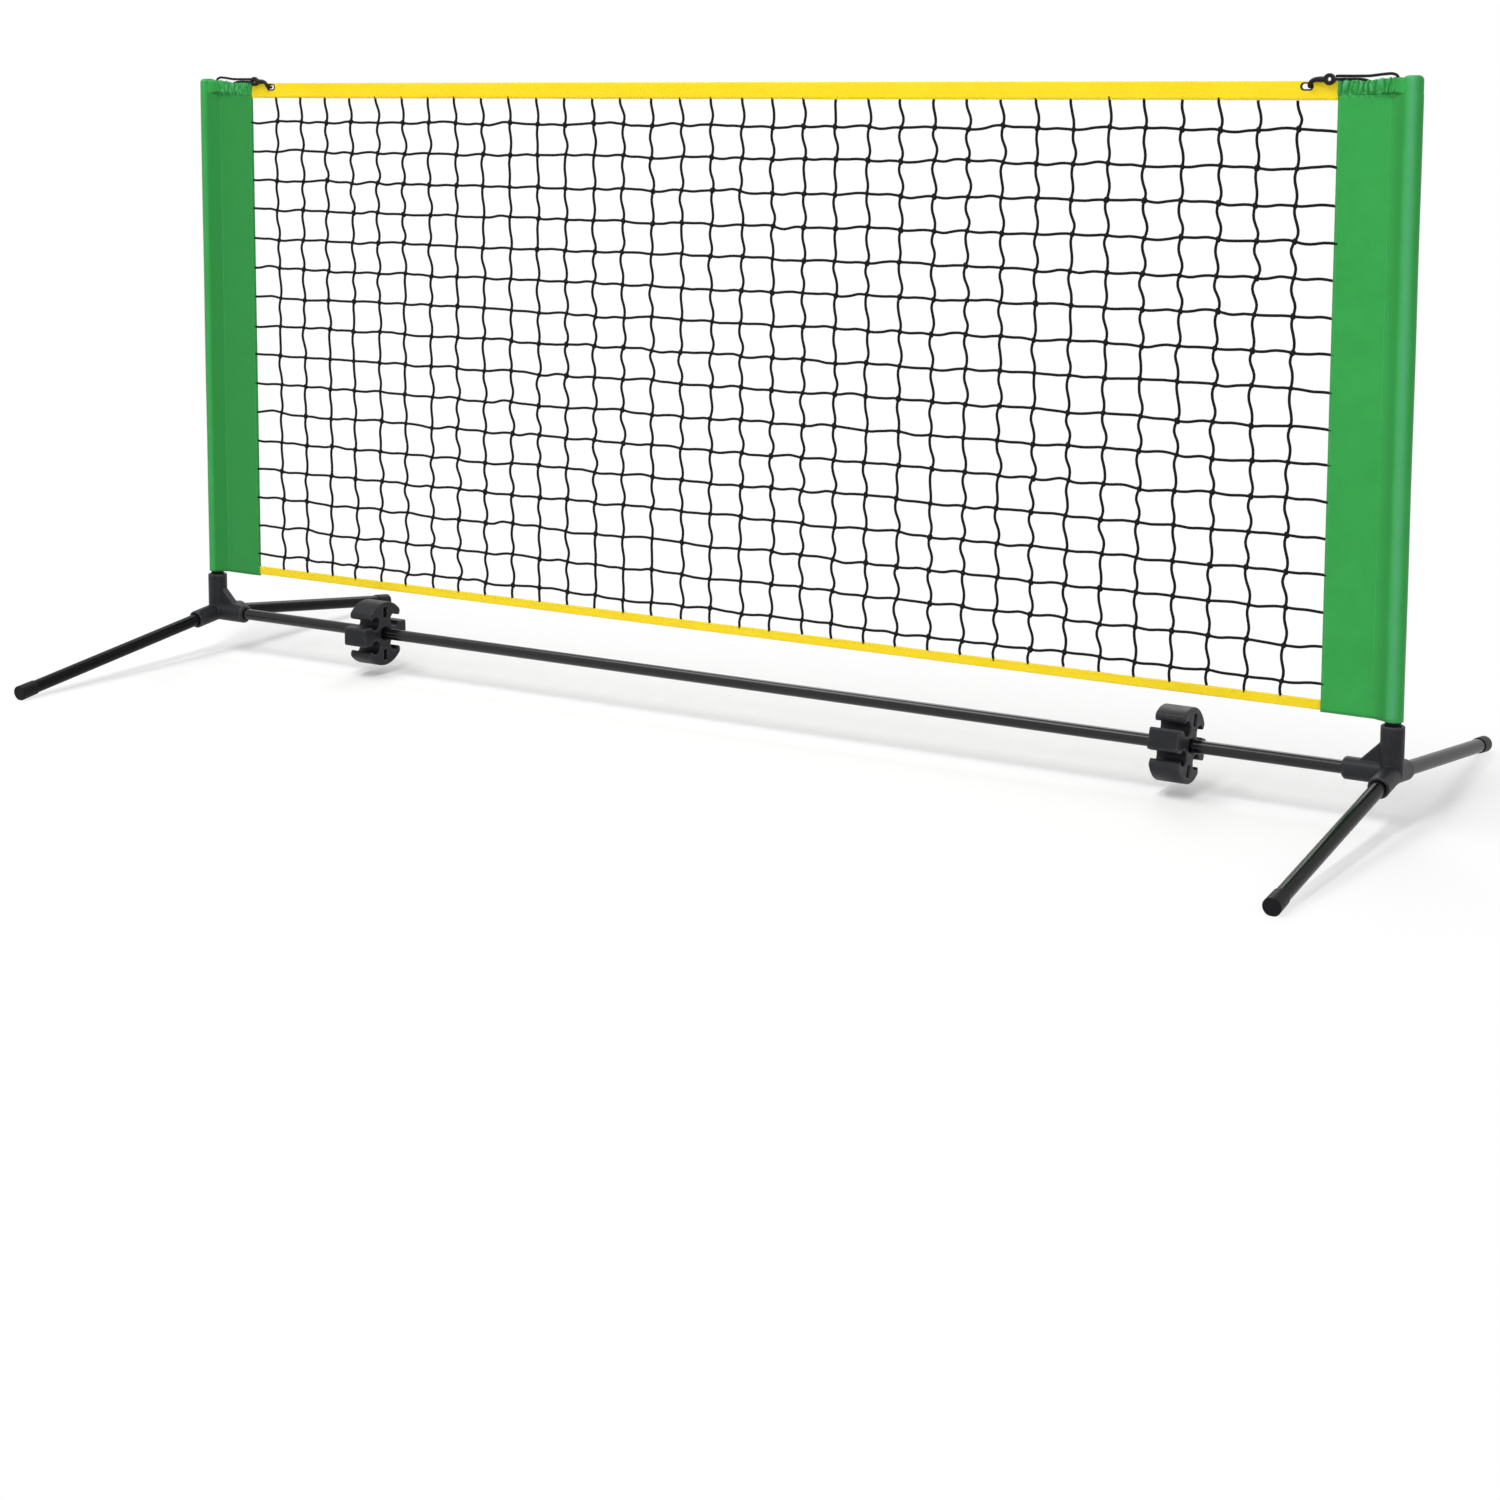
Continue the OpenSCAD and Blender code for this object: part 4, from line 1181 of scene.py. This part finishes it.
FACES = (-1, 1)
SLEEVE_SEAMS = (PANEL_WIDTH - 3 * MM, 24.5 * MM)
top_seed, bottom_seed = TAPE_SEEDS.values()
tape_lines = [tape_seam(TOP_TAPE[0] + 2.2 * MM, face, top_seed, 0.9) for face in FACES]
tape_lines += [tape_seam(BOTTOM_TAPE[1] - 1.8 * MM, face, bottom_seed, 0.7) for face in FACES]
sleeve_lines = [
    sleeve_seam(u, face, side, seed)
    for seed, side in enumerate(SIDES.values()) for u in SLEEVE_SEAMS for face in FACES
]
for name, lines, sizes, finish in (
    ("tape_stitches", tape_lines, (3.6, 2.9, 0.5), yellow_thread),
    ("sleeve_stitches", sleeve_lines, (3.4, 2.7, 0.5), green_thread),
    ("hem_stitches", hem_seams, (4.2, 3.0, 0.9), green_thread),
):
    sew(name, lines, *(value * MM for value in sizes), finish)

# %% [markdown]
# ## Moulded hubs and clips
#
# A moulding has no knife edges, and its parts flow into each other with small fillets. The CAD
# solids are sharp, so each hub and clip is rebuilt from a copy of its solid: a fine voxel remesh
# joins everything into even quads, and smoothing then rounds every edge by about a millimetre. Each
# point also keeps how far it stands out from its neighbours, so that the finish can show handling
# wear along the edges.

# %% Rounded mouldings
VOXEL, FULL_WEAR = 0.8 * MM, 0.06


def stand_out(mesh):
    """How far each point stands out from its neighbours, evened out over a few rings of them."""
    count, places = len(mesh.vertices), places_of(mesh)
    normals = np.empty(count * 3)
    mesh.vertex_normals.foreach_get("vector", normals)
    normals = normals.reshape(-1, 3)
    pairs = np.empty(len(mesh.edges) * 2, dtype=np.int64)
    mesh.edges.foreach_get("vertices", pairs)
    first, second = pairs.reshape(-1, 2).T
    ends, others = np.concatenate([first, second]), np.concatenate([second, first])
    neighbours = np.bincount(ends, minlength=count)

    def mean_beside(values):
        return np.bincount(ends, values[others], count) / neighbours

    stand = sum((places[:, axis] - mean_beside(places[:, axis])) * normals[:, axis] for axis in range(3))
    for _ in range(3):
        stand = 0.5 * stand + 0.5 * mean_beside(stand)
    return stand


def rounded_copy(name, node_name, passes, body):
    """Puts a rounded copy of a CAD solid in its place, marked for wear where its edges stand out."""
    source = bmesh.new()
    source.from_mesh(frame["nodes"][node_name].data)
    bmesh.ops.remove_doubles(source, verts=source.verts, dist=1e-6)
    carrier = placed(name + "_carrier", mesh_from(source, name))
    remesh = carrier.modifiers.new("remesh", "REMESH")
    remesh.mode, remesh.voxel_size, remesh.use_smooth_shade = "VOXEL", VOXEL, True
    soften = carrier.modifiers.new("soften", "SMOOTH")
    soften.factor, soften.iterations = 0.5, passes
    made = result_of(carrier)
    bpy.data.objects.remove(carrier)
    mark(made, "wear_and_sheen", np.clip(stand_out(made) / (FULL_WEAR * VOXEL), 0, 1))
    made.shade_smooth()
    settle(new_piece(name, made, moulded_black, body), node_name)


for word in SIDES:
    rounded_copy(f"{word}_moulded_hub", f"{word}_hub", 5, "base")
    rounded_copy(f"{word}_moulded_clip", f"{word}_tube_clip", 16, f"{word}_tube_clip")

# %% [markdown]
# ## Other hard parts
#
# The other CAD solids already have the right shape, so the tubes, caps and ferrules stay and only
# take their finish. The crossbar's coat is glossier than that of the legs and posts.

# %% Dress the CAD parts
FINISHES = {
    "moulded_black": moulded_black, "leg_cap_black": cap_black,
    "tube_black": tube_black, "bare_steel": steel,
}
dressed = 0
for part in frame["record"]["subparts"]:
    node = frame["nodes"][part["node"]]
    if part["material_slot"] in FINISHES:
        finish = bar_black if "crossbar_tube" in part["node"] else FINISHES[part["material_slot"]]
        node.data.materials.clear()
        node.data.materials.append(finish)
        dressed += 1
print("CAD parts dressed:", dressed)

# %% [markdown]
# ## Stage and light
#
# The floor and the world are plain white to the camera and to reflections, and neutral grey light
# comes from the world otherwise. The floor keeps its shadows near the net and goes over to plain
# white farther off, so no horizon shows. A soft lamp high above the net, a little in front of it,
# throws the shadows almost straight down. A weaker one on the left draws a bright line along the
# crossbar, a weak one beside the camera fills the folds, and one behind the net lights its back.
# Their level is set so that a colour renders about as it is written.

# %% Stage
WHITE = (1, 1, 1, 1)
WORLD_LIGHT, SHADOW_MIX = 0.34, 0.22
SHADOW_LONG, SHADOW_DEEP = 1.5, 0.62


def seen_directly(tree):
    """1 for what the camera sees, also in mirrors and through glass, and 0 for light on things."""
    path = add(tree, "ShaderNodeLightPath").outputs
    either = math_node(tree, "MAXIMUM", path["Is Camera Ray"], path["Is Glossy Ray"])
    return math_node(tree, "MAXIMUM", either, path["Is Transmission Ray"])


floor_mesh = bpy.data.meshes.new("floor")
floor_mesh.from_pydata([(-30, -30, 0), (30, -30, 0), (30, 30, 0), (-30, 30, 0)], [], [(0, 1, 2, 3)])
floor = placed("floor", floor_mesh)
floor_finish, tree, shader = new_finish("pale_floor", 0.9, specular=0.1)
shader.inputs["Base Color"].default_value = (0.98, 0.98, 0.98, 1)
glow = add(tree, "ShaderNodeEmission", {"Color": WHITE, "Strength": 1.0})
spread = vector_math(tree, "MULTIPLY", place_of(tree), (1 / SHADOW_LONG, 1 / SHADOW_DEEP, 0))
away = add(tree, "ShaderNodeVectorMath", {0: spread}, operation="LENGTH").outputs["Value"]
whiten = add(tree, "ShaderNodeMapRange", {
    "Value": away, "From Min": 0.45, "From Max": 1.1, "To Min": SHADOW_MIX, "To Max": 1.0},
    interpolation_type="SMOOTHSTEP").outputs["Result"]
floor_mix = add(tree, "ShaderNodeMixShader", {
    0: times(tree, seen_directly(tree), whiten), 1: shader.outputs[0], 2: glow.outputs[0]})
tree.links.new(floor_mix.outputs[0], tree.nodes["Material Output"].inputs["Surface"])
floor_mesh.materials.append(floor_finish)

world = bpy.data.worlds.new("studio")
bpy.context.scene.world = world
world.use_nodes = True
tree = world.node_tree
background = tree.nodes["Background"].inputs
background["Color"].default_value = WHITE
level = add(tree, "ShaderNodeMapRange", {
    "Value": seen_directly(tree), "To Min": WORLD_LIGHT, "To Max": 1.0})
tree.links.new(level.outputs["Result"], background["Strength"])
print("stage: a white floor and world")

# %% Lamps
def lamp(name, place, aim, wide, tall, power):
    data = bpy.data.lights.new(name, "AREA")
    data.shape, data.size, data.size_y, data.energy = "RECTANGLE", wide, tall, power
    made = placed(name, data)
    made.location = place
    made.rotation_euler = (Vector(aim) - Vector(place)).to_track_quat("-Z", "Y").to_euler()


lamp("key", (0.25, -2.45, 4.6), (0, 0, 0.2), 0.7, 3.2, 106)
lamp("top", (-2.2, -1.3, 4.7), (0, 0, 0.1), 3.8, 1.2, 88)
lamp("fill", (2.6, -4.6, 2.0), (0.2, 0, 0.45), 0.9, 1.6, 43)
lamp("back", (-1.5, 3.6, 3.2), (0, 0, 0.4), 2.4, 2.4, 58)
bpy.context.scene.view_settings.view_transform = "Standard"
print("lamps:", ", ".join(light.name for light in bpy.data.lights))
